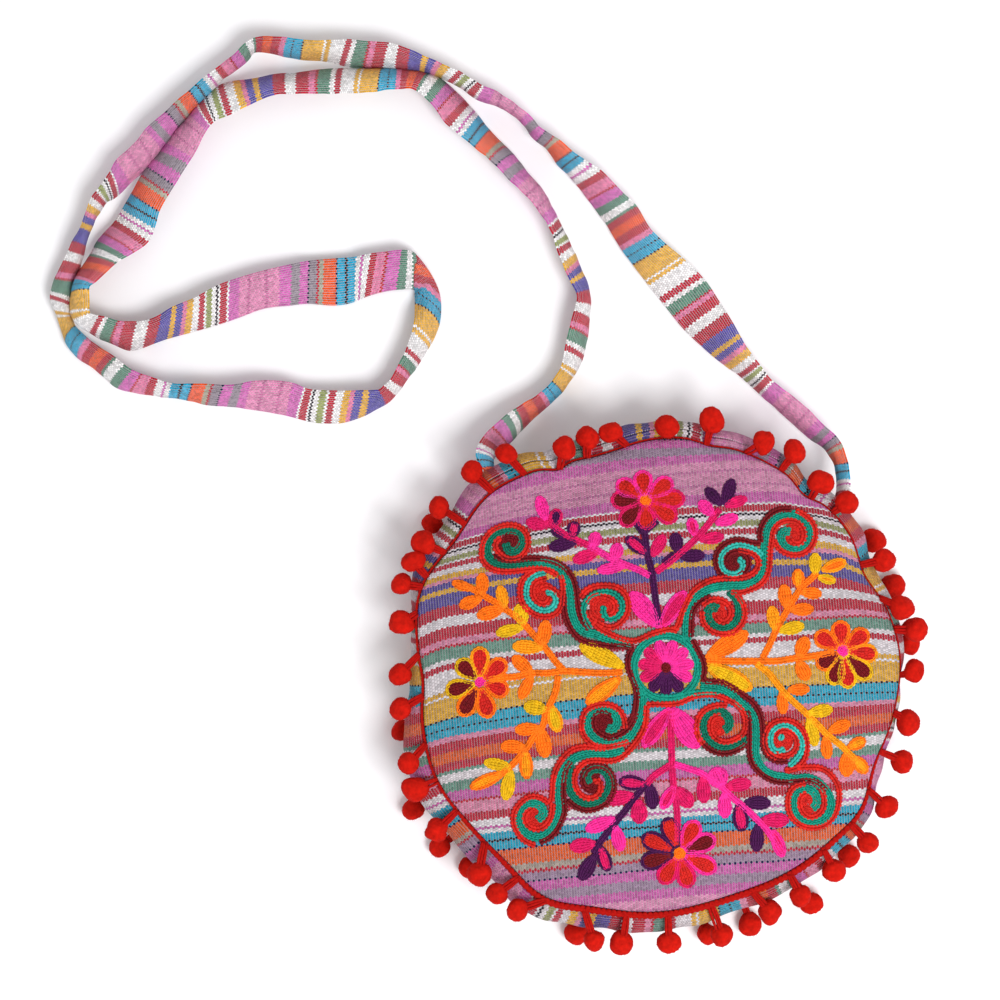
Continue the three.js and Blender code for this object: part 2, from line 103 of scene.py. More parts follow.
# Strap, charted on the photograph from its left end to its right end. A row is one stripe's edge:
# its end on the strap's left side, its end on the right side, in photograph pixels, and its pick.
STRAP_CHART = [
    (488, 477, 496, 478, 338), (482, 468, 494, 472, 328), (475, 455, 492, 464, 314),
    (478.5, 442, 497, 456, 299),
    (489.5, 429, 506, 447, 283), (501.5, 418, 511, 443, 272), (513.5, 408.5, 521, 431.5, 254),
    (538, 394, 544, 408, 226), (551.5, 381.5, 560, 393, 201.5), (561.5, 364, 575.5, 372.5, 177),
    (565, 348, 582, 361, 161.5), (570, 322, 588, 332.5, 139), (574, 309, 589.5, 319, 126),
    (576.5, 293.5, 588.5, 291, 109), (567, 276, 579, 265, 86), (557.5, 251, 568.5, 243, 66),
    (549, 227, 555, 219, 42), (527, 197, 541, 188, 10), (510, 181, 525.5, 170, -8),
    (496, 166, 514.5, 155.5, -24.5), (474.5, 148, 490, 130, -50.5), (462, 137.5, 479.5, 116, -67),
    (444, 123, 465.5, 99.5, -86), (430.5, 103, 448, 83.5, -107), (424.5, 98.5, 441, 77.5, -115),
    (416.5, 90.5, 430, 74, -125), (396, 89.5, 398, 69, -159), (378, 91.5, 383.5, 68.5, -177.5),
    (353.5, 93.5, 360, 68, -202), (338, 94, 342, 68, -217.5), (317, 94.5, 320, 69, -235),
    (297, 94.5, 298, 72.5, -251), (274, 95.5, 275, 74.5, -270), (262.5, 99.5, 259.5, 77.5, -282),
    (243, 109, 234, 80.5, -303), (230.5, 115.5, 221, 83.5, -311.5), (216, 121, 207, 93.5, -325.5),
    (211, 126, 198, 101.5, -337), (204, 136, 183, 120.5, -356.5), (197, 151, 173.5, 130.5, -369.5),
    (189.5, 163.5, 160, 150.5, -387), (175.5, 186, 146.5, 165.5, -403.5), (160.5, 211, 130.5, 193, -429.5),
    (156, 228, 121.5, 208, -446), (150, 242, 114.5, 219.5, -458), (128, 257, 96, 240.5, -486),
    (116.5, 263, 88.5, 256, -504), (107, 273, 79, 270.5, -523), (95.5, 283, 75.5, 276, -532),
    (89, 287.5, 71, 294, -556.5), (90.5, 304, 70, 305, -571), (89, 313, 72, 318.5, -581),
    (98, 315, 90, 333, -594), (107.5, 316.5, 99, 339, -603), (117.5, 320.5, 110.5, 343.5, -614),
    (136.5, 320.5, 129.5, 352, -630), (148.5, 319, 141.5, 349, -639), (160, 314, 152, 345.5, -649),
    (171, 306.5, 165.5, 340.5, -661), (193, 297.5, 189, 334, -682), (216, 284.5, 215, 327, -704.5),
    (238.5, 276.5, 237.5, 319.5, -727), (265, 269, 265, 309.5, -748.5), (291, 263, 289.5, 307, -766),
    (308.5, 259.5, 307, 305, -782.5), (336.5, 257, 336, 307, -808.5), (355.5, 255.5, 354.5, 303.5, -825),
    (370.5, 252, 363.5, 299, -837), (386, 250.5, 379.5, 294, -855), (401, 248.5, 395.5, 291, -865),
    (414.5, 251.5, 413.5, 290.5, -884), (427, 266, 414, 293.5, -892), (434.5, 278, 414, 297, -902),
    (441.5, 296.5, 414, 304, -911), (440, 324.5, 413.5, 322, -935.5), (429, 349, 409.5, 337, -960),
    (419.5, 363, 406, 348, -975), (410, 376, 399.5, 362, -992), (405, 379, 394, 371.5, -1001),
    (401.5, 385, 391, 380, -1009), (396, 394, 384, 384.5, -1018), (386, 403, 379, 390, -1028),
    (366, 415.5, 370, 389.5, -1040), (350, 422, 355.5, 389.5, -1051), (339.5, 424.5, 345.5, 389.5, -1061),
    (310, 423, 315.5, 389, -1083.5), (297.5, 419.5, 306, 387.5, -1095), (287, 417, 294, 382, -1106),
    (259, 411.5, 267, 379.5, -1127.5), (244.5, 409.5, 252.5, 380.5, -1137), (227, 406.5, 235, 384, -1153),
    (207, 405, 213.5, 384, -1170), (188, 400, 193, 383, -1187.5), (170.5, 397.5, 172.5, 383.5, -1204),
    (145, 394.5, 152, 376.5, -1223), (118.5, 389.5, 133, 370, -1244), (102.5, 376, 115, 356.5, -1263),
    (90, 366, 101, 347.5, -1281), (78, 359.5, 88, 337.5, -1296), (65.5, 344, 76, 326, -1314.5),
    (55.5, 314, 73, 314.5, -1336), (48.5, 297.5, 73, 307, -1354), (50, 291.5, 74, 299.5, -1361),
    (53.5, 279, 78, 280, -1372), (63.5, 260, 81.5, 265.5, -1388), (72, 241, 85.5, 247, -1407),
    (79.5, 228, 89, 233, -1419), (84, 216.5, 94, 220, -1430), (90.5, 197, 102.5, 208, -1446),
    (99, 187, 107.5, 200, -1455.5), (104, 179, 111, 201, -1463), (110, 170.5, 118, 197, -1475),
    (114.5, 160.5, 129, 185, -1485), (127, 149.5, 142.5, 174, -1493.5), (137, 139.5, 152, 165.5, -1506.5),
    (144, 129.5, 162.5, 151.5, -1516), (154, 120, 172, 140.5, -1532), (165, 111.5, 178.5, 130, -1540.5),
    (177.5, 99, 190, 118, -1554), (188.5, 90.5, 199, 108, -1566.5), (201.5, 79, 210.5, 93.5, -1583),
    (214, 69.5, 222, 79, -1595), (238, 51, 243.5, 64, -1623), (243.5, 43, 248.5, 57, -1631),
    (255, 37, 254.5, 52, -1642), (280.5, 36.5, 278.5, 55.5, -1669), (302.5, 39.5, 300, 60, -1693.5),
    (330.5, 39.5, 326.5, 62, -1718), (348, 38.5, 340.5, 66, -1733), (367.5, 40.5, 361.5, 70, -1750),
    (388, 41.5, 381.5, 71.5, -1767), (409, 48.5, 408, 72, -1786), (434.5, 60, 429, 72.5, -1809),
    (449, 66, 440, 76.5, -1819), (461, 72, 449.5, 81, -1828), (473.5, 80, 464, 89, -1841.5),
    (483.5, 85.5, 475, 98.5, -1854), (504, 95.5, 501, 106, -1874), (526.5, 112, 520.5, 120, -1895),
    (534.5, 120, 526, 125.5, -1904), (545, 131, 536.5, 140.5, -1919.5), (559, 138.5, 547, 148.5, -1933),
    (572.5, 150.5, 555, 162, -1945.5), (583.5, 159, 565.5, 173, -1962), (601, 169, 575.5, 184.5, -1974),
    (624, 192.5, 594, 209.5, -2002), (637.5, 205, 605.5, 225.5, -2021), (650.5, 227, 618, 246.5, -2048),
    (666.5, 243, 631, 264.5, -2072.5), (686, 259, 647, 285.5, -2097), (706.5, 279.5, 664, 307, -2119),
    (721, 301.5, 682.5, 330, -2146), (734, 322, 699.5, 346, -2165), (744.5, 341.5, 718, 362, -2188),
    (758.5, 362, 739, 376, -2207), (772, 379.5, 758.5, 393, -2232), (805.5, 406, 789.5, 421, -2261),
    (825, 425.5, 809, 439, -2282), (836, 435, 822.5, 447, -2298.5), (843.5, 447, 828, 455, -2312),
    (848.5, 462.5, 835.5, 464.5, -2324.5), (850.5, 478, 837.5, 483, -2341), (851, 491, 837, 494, -2354),
    (848.5, 502, 834, 504, -2366),
]
# Side of the strap that is up along it: pick, 1 for the left side to -1 for the right side
STRAP_TILT = [(-870, 1), (-930, -1), (-1255, -1), (-1345, 0.4), (-1450, 1)]
# Picks folded out of sight on the strap's right side at its sharp turn: pick on the left side, picks
STRAP_DART = [(-975, 0), (-960, 6), (-935, 18), (-911, 25), (-884, 36)]
# Height of the strap's lower side where it lies against itself: pick, height
STRAP_LIFT = [
    (-1930, 0), (-1880, 1), (-1340, 1), (-1285, 0), (-610, 0), (-550, 3.5), (-180, 3.5), (-100, 0),
]

# Weave: ribs run along the stripes' sequence, and a stripe is counted in weft picks
RIB = 1.2
# The bag's dyes: its own colours, held darker than the strap's same yarns as painted shade for the dimmer
# light on the bag
BAG_DYES_AND_SHADE = {
    "pale_pink": (200, 128, 163), "orchid": (182, 84, 151), "pink": (202, 123, 152),
    "dusky": (180, 102, 148), "grey": (141, 115, 140), "crimson": (170, 28, 50), "white": (208, 201, 205),
    "black": (20, 12, 28), "olive": (134, 136, 86), "yellow": (204, 154, 48),
    "violet": (78, 66, 136), "green": (94, 134, 119), "turquoise": (24, 148, 176),
    "orange": (202, 80, 26), "navy": (14, 10, 66), "sage": (152, 138, 126),
}
# The strap's dyes, brighter: the bag's table above holds painted shade over the same yarns
STRAP_DYES = {
    "pale_pink": (234, 140, 186), "orchid": (220, 104, 188), "pink": (240, 128, 172),
    "dusky": (204, 104, 158), "crimson": (196, 18, 48), "white": (255, 253, 253), "yellow": (244, 184, 50),
    "green": (88, 142, 118), "turquoise": (12, 174, 216), "orange": (250, 88, 10),
    "violet": (84, 76, 172), "grey": (150, 138, 150), "sage": (176, 172, 150), "olive": (156, 168, 92),
}
# One repeat of the stripes: dye, picks
STRIPES = [
    ("pale_pink", 8), ("dusky", 2), ("pale_pink", 12), ("dusky", 2), ("pale_pink", 7),
    ("orchid", 10), ("white", 2), ("crimson", 7), ("white", 2), ("black", 2), ("white", 4),
    ("olive", 5), ("white", 2), ("crimson", 5), ("white", 6), ("yellow", 6), ("pink", 4),
    ("violet", 6), ("yellow", 5), ("violet", 12), ("crimson", 10), ("white", 9), ("crimson", 10),
    ("pink", 5), ("crimson", 2), ("green", 10), ("white", 4), ("crimson", 5), ("white", 13),
    ("yellow", 4), ("white", 2), ("yellow", 18), ("black", 1), ("turquoise", 9), ("black", 1),
    ("turquoise", 8), ("pink", 6), ("crimson", 9), ("orange", 10), ("crimson", 8), ("green", 3),
    ("white", 8), ("green", 8), ("orchid", 9), ("crimson", 2), ("pink", 10), ("crimson", 7),
    ("white", 6), ("orchid", 2), ("white", 4), ("turquoise", 7), ("black", 2), ("turquoise", 7),
    ("navy", 1), ("orange", 12), ("sage", 4), ("crimson", 2), ("grey", 7), ("navy", 1),
    ("orchid", 8), ("grey", 8), ("orchid", 8),
]
REPEAT = sum(picks for _, picks in STRIPES)
# How the stripes lie on the panel, charted: pick, then its line's place down the photograph
# at each of the four columns
STRIPE_TILT = 0.081
PANEL_COLUMNS = (445, 575, 712, 868)
PANEL_CHART = [
    (-8, 503, 467, 455, 446), (0, 512, 478.5, 462, 455), (9, 521, 487, 472, 465),
    (23, 532, 500, 486, 480), (41, 543, 517.5, 505, 502), (53, 552.5, 528.5, 516, 514),
    (76, 574, 555.5, 544, 543), (86, 582.5, 565, 554.5, 555), (97, 594, 577, 567, 568),
    (109, 607, 589.5, 579, 579), (128, 628, 612, 603, 598.5), (145, 649, 634, 626, 617),
    (164, 671, 656.5, 645, 639.5), (177, 692, 674, 663, 655), (201.5, 720, 700.5, 690.5, 683.5),
    (211.5, 729.5, 711, 700.5, 693.5), (220, 738, 719.5, 709, 701), (226, 743.5, 724.5, 715, 705.5),
    (235, 753.5, 734.5, 725.5, 715.5), (245, 764.5, 745, 737, 725.5), (256, 775.5, 757.5, 749, 736.5),
    (264, 783.5, 766.5, 757.5, 746), (272, 793, 776.5, 766, 755.5), (300, 826, 811, 801, 788.5),
    (307, 834, 820.5, 811, 799), (320, 848, 833, 824, 813), (328.5, 857, 843, 832.5, 823),
    (341, 873, 860, 848, 838), (346, 881, 868.5, 856, 847), (354.5, 890, 877.5, 866, 857),
    (371, 910, 897.5, 885.5, 877), (379, 919, 907, 895, 886),
]
# Where the stripes drop over the panel's edge: angle, drop, spread in degrees
EDGE_DROPS = [(34, 4.5, 24), (174, 3.0, 22)]
EDGE_SHARE = 0.86
# How the stripes run round the gusset: angle, pick
GUSSET_PICKS = [(131, 6), (145.4, 60), (243, 429), (300, 635), (403.5, 1019)]
MOUTH_PICKS = [(43.5, -85), (83, 53.5), (118.8, 182), (125.6, 211), (132, 246)]

YARNS = {
    "hot_pink": (245, 45, 155), "magenta": (222, 18, 100), "purple": (72, 8, 74),
    "red": (212, 34, 26), "dark_red": (118, 8, 20), "orange": (255, 122, 8),
    "gold": (250, 158, 10), "yellow": (232, 184, 12), "teal": (6, 150, 128),
    "light_teal": (54, 184, 172), "deep_green": (0, 118, 94),
}
POMPOM_RED = (224, 28, 14)
BRAID_RED = (200, 22, 16)
TAPE_DARK = (44, 32, 38)
COIL_DARK = (60, 48, 52)
# How far the dyes are held down below the surface that the bag lies on
DYE_LEVEL = 0.89


def linear(dye):
    """An sRGB colour, 0 to 255, as linear light with full alpha."""
    share = np.array(dye, float) / 255
    low, high = share / 12.92, ((share + 0.055) / 1.055) ** 2.4
    return (*np.where(share <= 0.04045, low, high).tolist(), 1.0)


def dyed(dye):
    """A dye as linear light, held down."""
    return (*(DYE_LEVEL * part for part in linear(dye)[:3]), 1.0)


# Curves and surfaces

LEAST_SPAN = 1e-4
WAVE_PEAK = 1.4
TURN_STEP = 0.01
# Waves over the front panel: seed, count, longest, shortest
PUCKER_WAVES = (5, 4, 90, 40)
SAG_WAVES = (3, 7, 70, 22)
PUCKERS, PUCKER_DEPTH, PUCKER_SWAY, PUCKER_GRIP = 41, 0.55, 2, 9
SAG = 0.45


def unit(vectors):
    return vectors / np.linalg.norm(vectors, axis=-1, keepdims=True)


def bell(distance, spread):
    return np.exp(-((distance / spread) ** 2))


def lobe(angle, at, spread):
    """A bell round the bag, about a place in degrees."""
    return bell((np.degrees(angle) - at + 180) % 360 - 180, spread)


def spline(points, per_span):
    """Points of a smooth curve through the given ones, with the same number in each span."""
    given = np.asarray(points, float)
    padded = np.vstack([2 * given[0] - given[1], given, 2 * given[-1] - given[-2]])
    share = (np.arange(per_span) / per_span)[:, None]
    made = []
    for before, start, end, after in zip(padded, padded[1:], padded[2:], padded[3:]):
        pairs = ((before, start), (start, end), (end, after))
        gap = [max(float(np.linalg.norm(b - a)) ** 0.5, LEAST_SPAN) for a, b in pairs]
        leave = (start - before) / gap[0] - (end - before) / (gap[0] + gap[1]) + (end - start) / gap[1]
        arrive = (end - start) / gap[1] - (after - start) / (gap[1] + gap[2]) + (after - end) / gap[2]
        leave, arrive = leave * gap[1], arrive * gap[1]
        square = -3 * start + 3 * end - 2 * leave - arrive
        cube = 2 * start - 2 * end + leave + arrive
        made.append(start + leave * share + square * share ** 2 + cube * share ** 3)
    return np.vstack([*made, given[-1:]])


def lengths(points):
    steps = np.linalg.norm(np.diff(points, axis=0), axis=1)
    return np.concatenate([[0.0], np.cumsum(steps)])


def resample(points, at, along=None):
    """Rows of points at the given places along them."""
    along = lengths(points) if along is None else along
    return np.stack([np.interp(at, along, column) for column in points.T], axis=-1)


def ripple(seed, count, longest, shortest, *places):
    """Smooth random waves, about -1 to 1, over places in millimetres."""
    rng = np.random.default_rng(seed)
    total = 0.0
    for _ in range(count):
        wave = 2 * math.pi / rng.uniform(shortest, longest)
        way = rng.normal(size=len(places))
        way = way / np.linalg.norm(way)
        phase = rng.uniform(0, 2 * math.pi)
        total = total + np.sin(wave * sum(w * p for w, p in zip(way, places)) + phase)
    return total / math.sqrt(count) / WAVE_PEAK


def rim_radius(angle):
    """Radius of the seams' outline."""
    radius = SEAM_RADIUS
    for at, out, spread in RIM_LOBES:
        radius = radius + out * lobe(angle, at, spread)
    return radius


def front_height(x, y):
    """Height of the front panel's upper face, with its dents, slack and puckers at the seam."""
    angle = np.arctan2(y, x)
    share = np.minimum(np.hypot(x, y) / rim_radius(angle), 1)
    slack = 1 - share ** SEAM_GRIP
    height = FRONT_SEAM_HEIGHT + CROWN * (1 - share ** CROWN_POWER)
    for at, dent_share, depth, spread in PANEL_DENTS:
        turn = np.radians(float(at))
        reach = dent_share * rim_radius(turn)
        away = np.hypot(x - reach * np.cos(turn), y - reach * np.sin(turn))
        height = height - slack * depth * bell(away, spread)
    sway = PUCKER_SWAY * ripple(*PUCKER_WAVES, x, y)
    pucker = np.sin(PUCKERS * angle + sway) * share ** PUCKER_GRIP
    return height + slack * (SAG * ripple(*SAG_WAVES, x, y) + PUCKER_DEPTH * pucker)


def back_height(share):
    return BACK_SEAM_HEIGHT * (np.maximum(0, share - FLAT_SHARE) / (1 - FLAT_SHARE)) ** 2


BAND_TOP = FRONT_SEAM_HEIGHT - CLOTH - GAP
BAND_BOTTOM = BACK_SEAM_HEIGHT + CLOTH + GAP


def band_point(angle, turn):
    """Radius and height of the gusset's outer face, from turn 0 at the front seam to pi at the back."""
    bulge = BULGE + BULGE_TO_RIGHT * np.cos(angle) + BULGE_TO_TOP * np.sin(angle)
    for at, less, spread in BULGE_DIPS:
        bulge = bulge - less * lobe(angle, at, spread)
    fall = (1 - np.cos(turn)) / 2
    out = bulge * np.sin(turn) * (1 + BULGE_LIFT * np.cos(turn))
    return rim_radius(angle) - BACK_INSET * fall + out, BAND_TOP + (BAND_BOTTOM - BAND_TOP) * fall


def band_inside(angle, turn, depth):
    """Radius and height at a depth under the gusset's outer face."""
    r0, z0 = band_point(angle, turn - TURN_STEP)
    r1, z1 = band_point(angle, turn + TURN_STEP)
    size = np.hypot(r1 - r0, z1 - z0)
    radius, height = band_point(angle, turn)
    return radius + depth * (z1 - z0) / size, height - depth * (r1 - r0) / size


# Meshes

def add_mesh(name, points, faces, material, uv=None, dye=None, outward=False):
    """A smooth mesh piece from points in millimetres, riding on the bag."""
    mesh = bpy.data.meshes.new(name)
    mesh.from_pydata((np.asarray(points) * MM).tolist(), [], [list(face) for face in faces])
    if outward:
        shape = bmesh.new()
        shape.from_mesh(mesh)
        bmesh.ops.recalc_face_normals(shape, faces=shape.faces)
        shape.to_mesh(mesh)
        shape.free()
    mesh.polygons.foreach_set("use_smooth", [True] * len(mesh.polygons))
    if uv is not None:
        corner = np.zeros(len(mesh.loops), np.int32)
        mesh.loops.foreach_get("vertex_index", corner)
        layer = mesh.uv_layers.new(name="cloth")
        layer.data.foreach_set("uv", np.asarray(uv, np.float32)[corner].ravel())
    if dye is not None:
        layer = mesh.color_attributes.new("yarn", "FLOAT_COLOR", "POINT")
        layer.data.foreach_set("color", np.asarray(dye, np.float32).ravel())
    mesh.materials.append(material)
    piece = bpy.data.objects.new(name, mesh)
    bpy.context.scene.collection.objects.link(piece)
    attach(piece, ROOT)
    return piece


def grid_faces(index):
    corners = (index[:-1, :-1], index[1:, :-1], index[1:, 1:], index[:-1, 1:])
    return np.stack(corners, axis=-1).reshape(-1, 4)


def shell(upper, lower):
    """Points and faces of a closed cloth between two grids of points."""
    rows, columns = upper.shape[:2]
    index = np.arange(rows * columns).reshape(rows, columns)
    size = rows * columns
    edge = np.concatenate([index[:-1, 0], index[-1, :-1], index[:0:-1, -1], index[0, :0:-1]])
    after = np.roll(edge, -1)
    wall = np.stack([edge, after, after + size, edge + size], axis=-1)
    faces = np.vstack([grid_faces(index), grid_faces(index)[:, ::-1] + size, wall[:, ::-1]])
    return np.vstack([upper.reshape(-1, 3), lower.reshape(-1, 3)]), faces


def tube(path, radius, sides):
    """Closed round tube along a path that is never vertical, with rounded-off ends."""
    along = unit(np.gradient(path, axis=0))
    across = unit(np.cross(UP, along))
    over = np.cross(along, across)
    turn = np.arange(sides) / sides * 2 * math.pi
    ring = np.cos(turn)[:, None, None] * across + np.sin(turn)[:, None, None] * over
    body = (path + ring * radius).transpose(1, 0, 2)
    count = len(path)
    index = np.arange(count * sides).reshape(count, sides)
    index = np.hstack([index, index[:, :1]])
    faces = grid_faces(index)[:, ::-1].tolist()
    faces += [index[0, :-1][::-1].tolist(), index[-1, :-1].tolist()]
    return body.reshape(-1, 3), faces


def joined(parts):
    """Points and faces of several bodies as one."""
    points, faces, start = [], [], 0
    for body, sides in parts:
        points.append(body)
        faces += [[corner + start for corner in side] for side in np.asarray(sides, object).tolist()]
        start += len(body)
    return np.vstack(points), faces


# Materials

# Sockets of the mix node for colours: share, first, second and result
MIX_SHARE, MIX_FIRST, MIX_SECOND, MIX_RESULT = 0, 6, 7, 2
RAMPS = 4
# Woven cloth: waver of the stripes, a bead's roundness, the shade painted round its edges and its uneven
# tone, the pale warp between, and the relief
WAVER_SCALE, WAVER_DETAIL, WAVER_PICKS = 0.045, 2.0, 2.4
BEAD_ROUND, BEAD_DIP, BEAD_LONG, BEAD_FLAT = 2.5, 0.6, 3.0, 0.3
BEAD_SHADE, SHADE_SPREAD, SHADE_LEAST = 0.56, 0.5, 0.74
PALE_WARP = dyed((240, 230, 236))
GROOVE_SHARP, GROOVE_PALE = 5.0, 0.08
CROSSING_SHARP, CROSSING_SPREAD, CROSSING_LEAST = 2.6, 0.6, 0.5
CLOTH_ROUGH, CLOTH_SHINE, BEAD_RELIEF, BEAD_BUMP = 0.92, 0.2, 0.35, 0.8
# Felted wool: detail, painted shade of the hollows, contrast, then surface and relief
FELT_DETAIL, FELT_HOLLOW_SHADE, FELT_CONTRAST, FELT_LEAST = 5.0, 0.5, 1.6, -0.3
FELT_ROUGH, FELT_SHINE, FELT_RELIEF, FELT_BUMP = 0.95, 0.1, 0.5, 0.6
# Embroidery yarn: fibres and their shade, then surface and relief
FIBRE_SCALE, FIBRE_DETAIL, FIBRE_CONTRAST, FIBRE_LEAST = 2600.0, 3.0, 0.7, 0.65
YARN_ROUGH, YARN_SHINE, FIBRE_RELIEF, FIBRE_BUMP = 0.75, 0.25, 0.15, 0.5


def new_material(name, rough, shine):
    material = bpy.data.materials.new(name)
    material.use_nodes = True
    shader = material.node_tree.nodes["Principled BSDF"]
    shader.inputs["Roughness"].default_value = rough
    shader.inputs["Specular IOR Level"].default_value = shine
    return material, material.node_tree, shader


def feed(tree, socket, value):
    if isinstance(value, bpy.types.NodeSocket):
        tree.links.new(value, socket)
    else:
        socket.default_value = value


def math_node(tree, operation, *values):
    made = tree.nodes.new("ShaderNodeMath")
    made.operation = operation
    for socket, value in zip(made.inputs, values):
        feed(tree, socket, value)
    return made.outputs[0]


def mix_node(tree, share, first, second, blend="MIX"):
    made = tree.nodes.new("ShaderNodeMix")
    made.data_type = "RGBA"
    made.blend_type = blend
    for socket, value in ((MIX_SHARE, share), (MIX_FIRST, first), (MIX_SECOND, second)):
        feed(tree, made.inputs[socket], value)
    return made.outputs[MIX_RESULT]


def from_middle(tree, place):
    """How far a place is from the middle of its cell, 0 to 1."""
    share = math_node(tree, "FRACT", place)
    return math_node(tree, "ABSOLUTE", math_node(tree, "MULTIPLY_ADD", share, 2.0, -1.0))


def white_noise(tree, *places):
    combined = tree.nodes.new("ShaderNodeCombineXYZ")
    for socket, place in zip(combined.inputs, places):
        tree.links.new(place, socket)
    noise = tree.nodes.new("ShaderNodeTexWhiteNoise")
    tree.links.new(combined.outputs[0], noise.inputs["Vector"])
    return noise.outputs["Value"]


def noise_node(tree, place, scale, detail):
    noise = tree.nodes.new("ShaderNodeTexNoise")
    noise.inputs["Scale"].default_value = scale
    noise.inputs["Detail"].default_value = detail
    tree.links.new(place, noise.inputs["Vector"])
    return noise.outputs["Fac"]


def bump(tree, shader, height, distance, strength):
    made = tree.nodes.new("ShaderNodeBump")
    made.inputs["Distance"].default_value = distance * MM
    made.inputs["Strength"].default_value = strength
    tree.links.new(height, made.inputs["Height"])
    tree.links.new(made.outputs[0], shader.inputs["Normal"])


def stripe_colour(tree, pick, dyes):
    """Colour of a pick in the stripes' repeat, from ramps that each hold a part of it."""
    place = math_node(tree, "FLOORED_MODULO", pick, float(REPEAT))
    share = REPEAT / RAMPS
    starts = np.cumsum([0] + [picks for _, picks in STRIPES])
    colour = None
    for part in range(RAMPS):
        low, high = part * share, (part + 1) * share
        ramp = tree.nodes.new("ShaderNodeValToRGB")
        ramp.color_ramp.interpolation = "CONSTANT"
        inside = math_node(tree, "DIVIDE", math_node(tree, "SUBTRACT", place, low), share)
        tree.links.new(inside, ramp.inputs[0])
        held = [i for i in range(len(STRIPES)) if starts[i] < high and starts[i + 1] > low]
        stops = ramp.color_ramp.elements
        stops.remove(stops[1])
        for count, i in enumerate(held):
            at = max(0.0, (starts[i] - low) / share)
            stop = stops[0] if count == 0 else stops.new(at)
            stop.position = at
            stop.color = dyed(dyes[STRIPES[i][0]])
        if colour is None:
            colour = ramp.outputs[0]
        else:
            past = math_node(tree, "GREATER_THAN", place, low)
            colour = mix_node(tree, past, colour, ramp.outputs[0])
    return colour


def woven(name, dyes, warp):
    """Ribbed weft-faced cloth, with a share of pale warp showing and shade painted darker round each bead.
    Its uv map counts ribs and picks.
    """
    material, tree, shader = new_material(name, CLOTH_ROUGH, CLOTH_SHINE)
    uv = tree.nodes.new("ShaderNodeUVMap")
    uv.uv_map = "cloth"
    split = tree.nodes.new("ShaderNodeSeparateXYZ")
    tree.links.new(uv.outputs[0], split.inputs[0])
    slow = noise_node(tree, uv.outputs[0], WAVER_SCALE, WAVER_DETAIL)
    rib = split.outputs[0]
    weft = math_node(tree, "MULTIPLY_ADD", slow, WAVER_PICKS, split.outputs[1])
    column = math_node(tree, "FLOOR", rib)
    odd = math_node(tree, "FLOORED_MODULO", column, 2.0)
    pair = math_node(tree, "MULTIPLY", math_node(tree, "SUBTRACT", weft, odd), 0.5)
    row = math_node(tree, "FLOOR", pair)
    pick = math_node(tree, "ADD", math_node(tree, "MULTIPLY_ADD", row, 2.0, odd), 0.5)
    colour = stripe_colour(tree, pick, dyes)
    across, along = from_middle(tree, rib), from_middle(tree, pair)
    swell = math_node(tree, "MULTIPLY_ADD", math_node(tree, "POWER", across, BEAD_ROUND), -BEAD_DIP, 1.0)
    hump = math_node(tree, "SUBTRACT", 1.0, math_node(tree, "POWER", along, BEAD_LONG))
    crest = math_node(tree, "MULTIPLY_ADD", hump, 1 - BEAD_FLAT, BEAD_FLAT)
    height = math_node(tree, "MULTIPLY", swell, crest)
    # Painted shade: the colour darkens towards each bead's edges and the grooves between beads
    depth = math_node(tree, "MULTIPLY_ADD", height, BEAD_SHADE, 1 - BEAD_SHADE)
    chance = white_noise(tree, column, row, odd)
    uneven = math_node(tree, "MULTIPLY_ADD", chance, SHADE_SPREAD, SHADE_LEAST)
    toned = mix_node(tree, 1.0, colour, math_node(tree, "MULTIPLY", depth, uneven), "MULTIPLY")
    sharp = math_node(tree, "POWER", across, GROOVE_SHARP)
    groove = math_node(tree, "MULTIPLY", sharp, GROOVE_PALE * warp)
    crossing = math_node(tree, "POWER", math_node(tree, "MULTIPLY", across, along), CROSSING_SHARP)
    luck = white_noise(tree, row, column, odd)
    odds = math_node(tree, "MULTIPLY_ADD", luck, CROSSING_SPREAD * warp, CROSSING_LEAST * warp)
    pale = math_node(tree, "MULTIPLY_ADD", crossing, odds, groove)
    tree.links.new(mix_node(tree, pale, toned, PALE_WARP), shader.inputs["Base Color"])
    bump(tree, shader, height, BEAD_RELIEF, BEAD_BUMP)
    return material


def felted(name, dye, scale):
    """Matt wool, mottled darker in the hollows of its relief as painted shade."""
    material, tree, shader = new_material(name, FELT_ROUGH, FELT_SHINE)
    place = tree.nodes.new("ShaderNodeTexCoord")
    fine = noise_node(tree, place.outputs["Object"], scale, FELT_DETAIL)
    # Painted shade: the wool's colour darkens where its relief dips into hollows
    deep = (*(FELT_HOLLOW_SHADE * part for part in dyed(dye)[:3]), 1.0)
    share = math_node(tree, "MULTIPLY_ADD", fine, FELT_CONTRAST, FELT_LEAST)
    tree.links.new(mix_node(tree, share, deep, dyed(dye)), shader.inputs["Base Color"])
    bump(tree, shader, fine, FELT_RELIEF, FELT_BUMP)
    return material


def yarn():
    """Embroidery yarn in the colour that each stitch carries."""
    material, tree, shader = new_material("embroidery_yarn", YARN_ROUGH, YARN_SHINE)
    carried = tree.nodes.new("ShaderNodeAttribute")
    carried.attribute_name = "yarn"
    place = tree.nodes.new("ShaderNodeTexCoord")
    fibre = noise_node(tree, place.outputs["Object"], FIBRE_SCALE, FIBRE_DETAIL)
    shade = math_node(tree, "MULTIPLY_ADD", fibre, FIBRE_CONTRAST, FIBRE_LEAST)
    tinted = mix_node(tree, 1.0, carried.outputs["Color"], shade, "MULTIPLY")
    tree.links.new(tinted, shader.inputs["Base Color"])
    bump(tree, shader, fibre, FIBRE_RELIEF, FIBRE_BUMP)
    return material
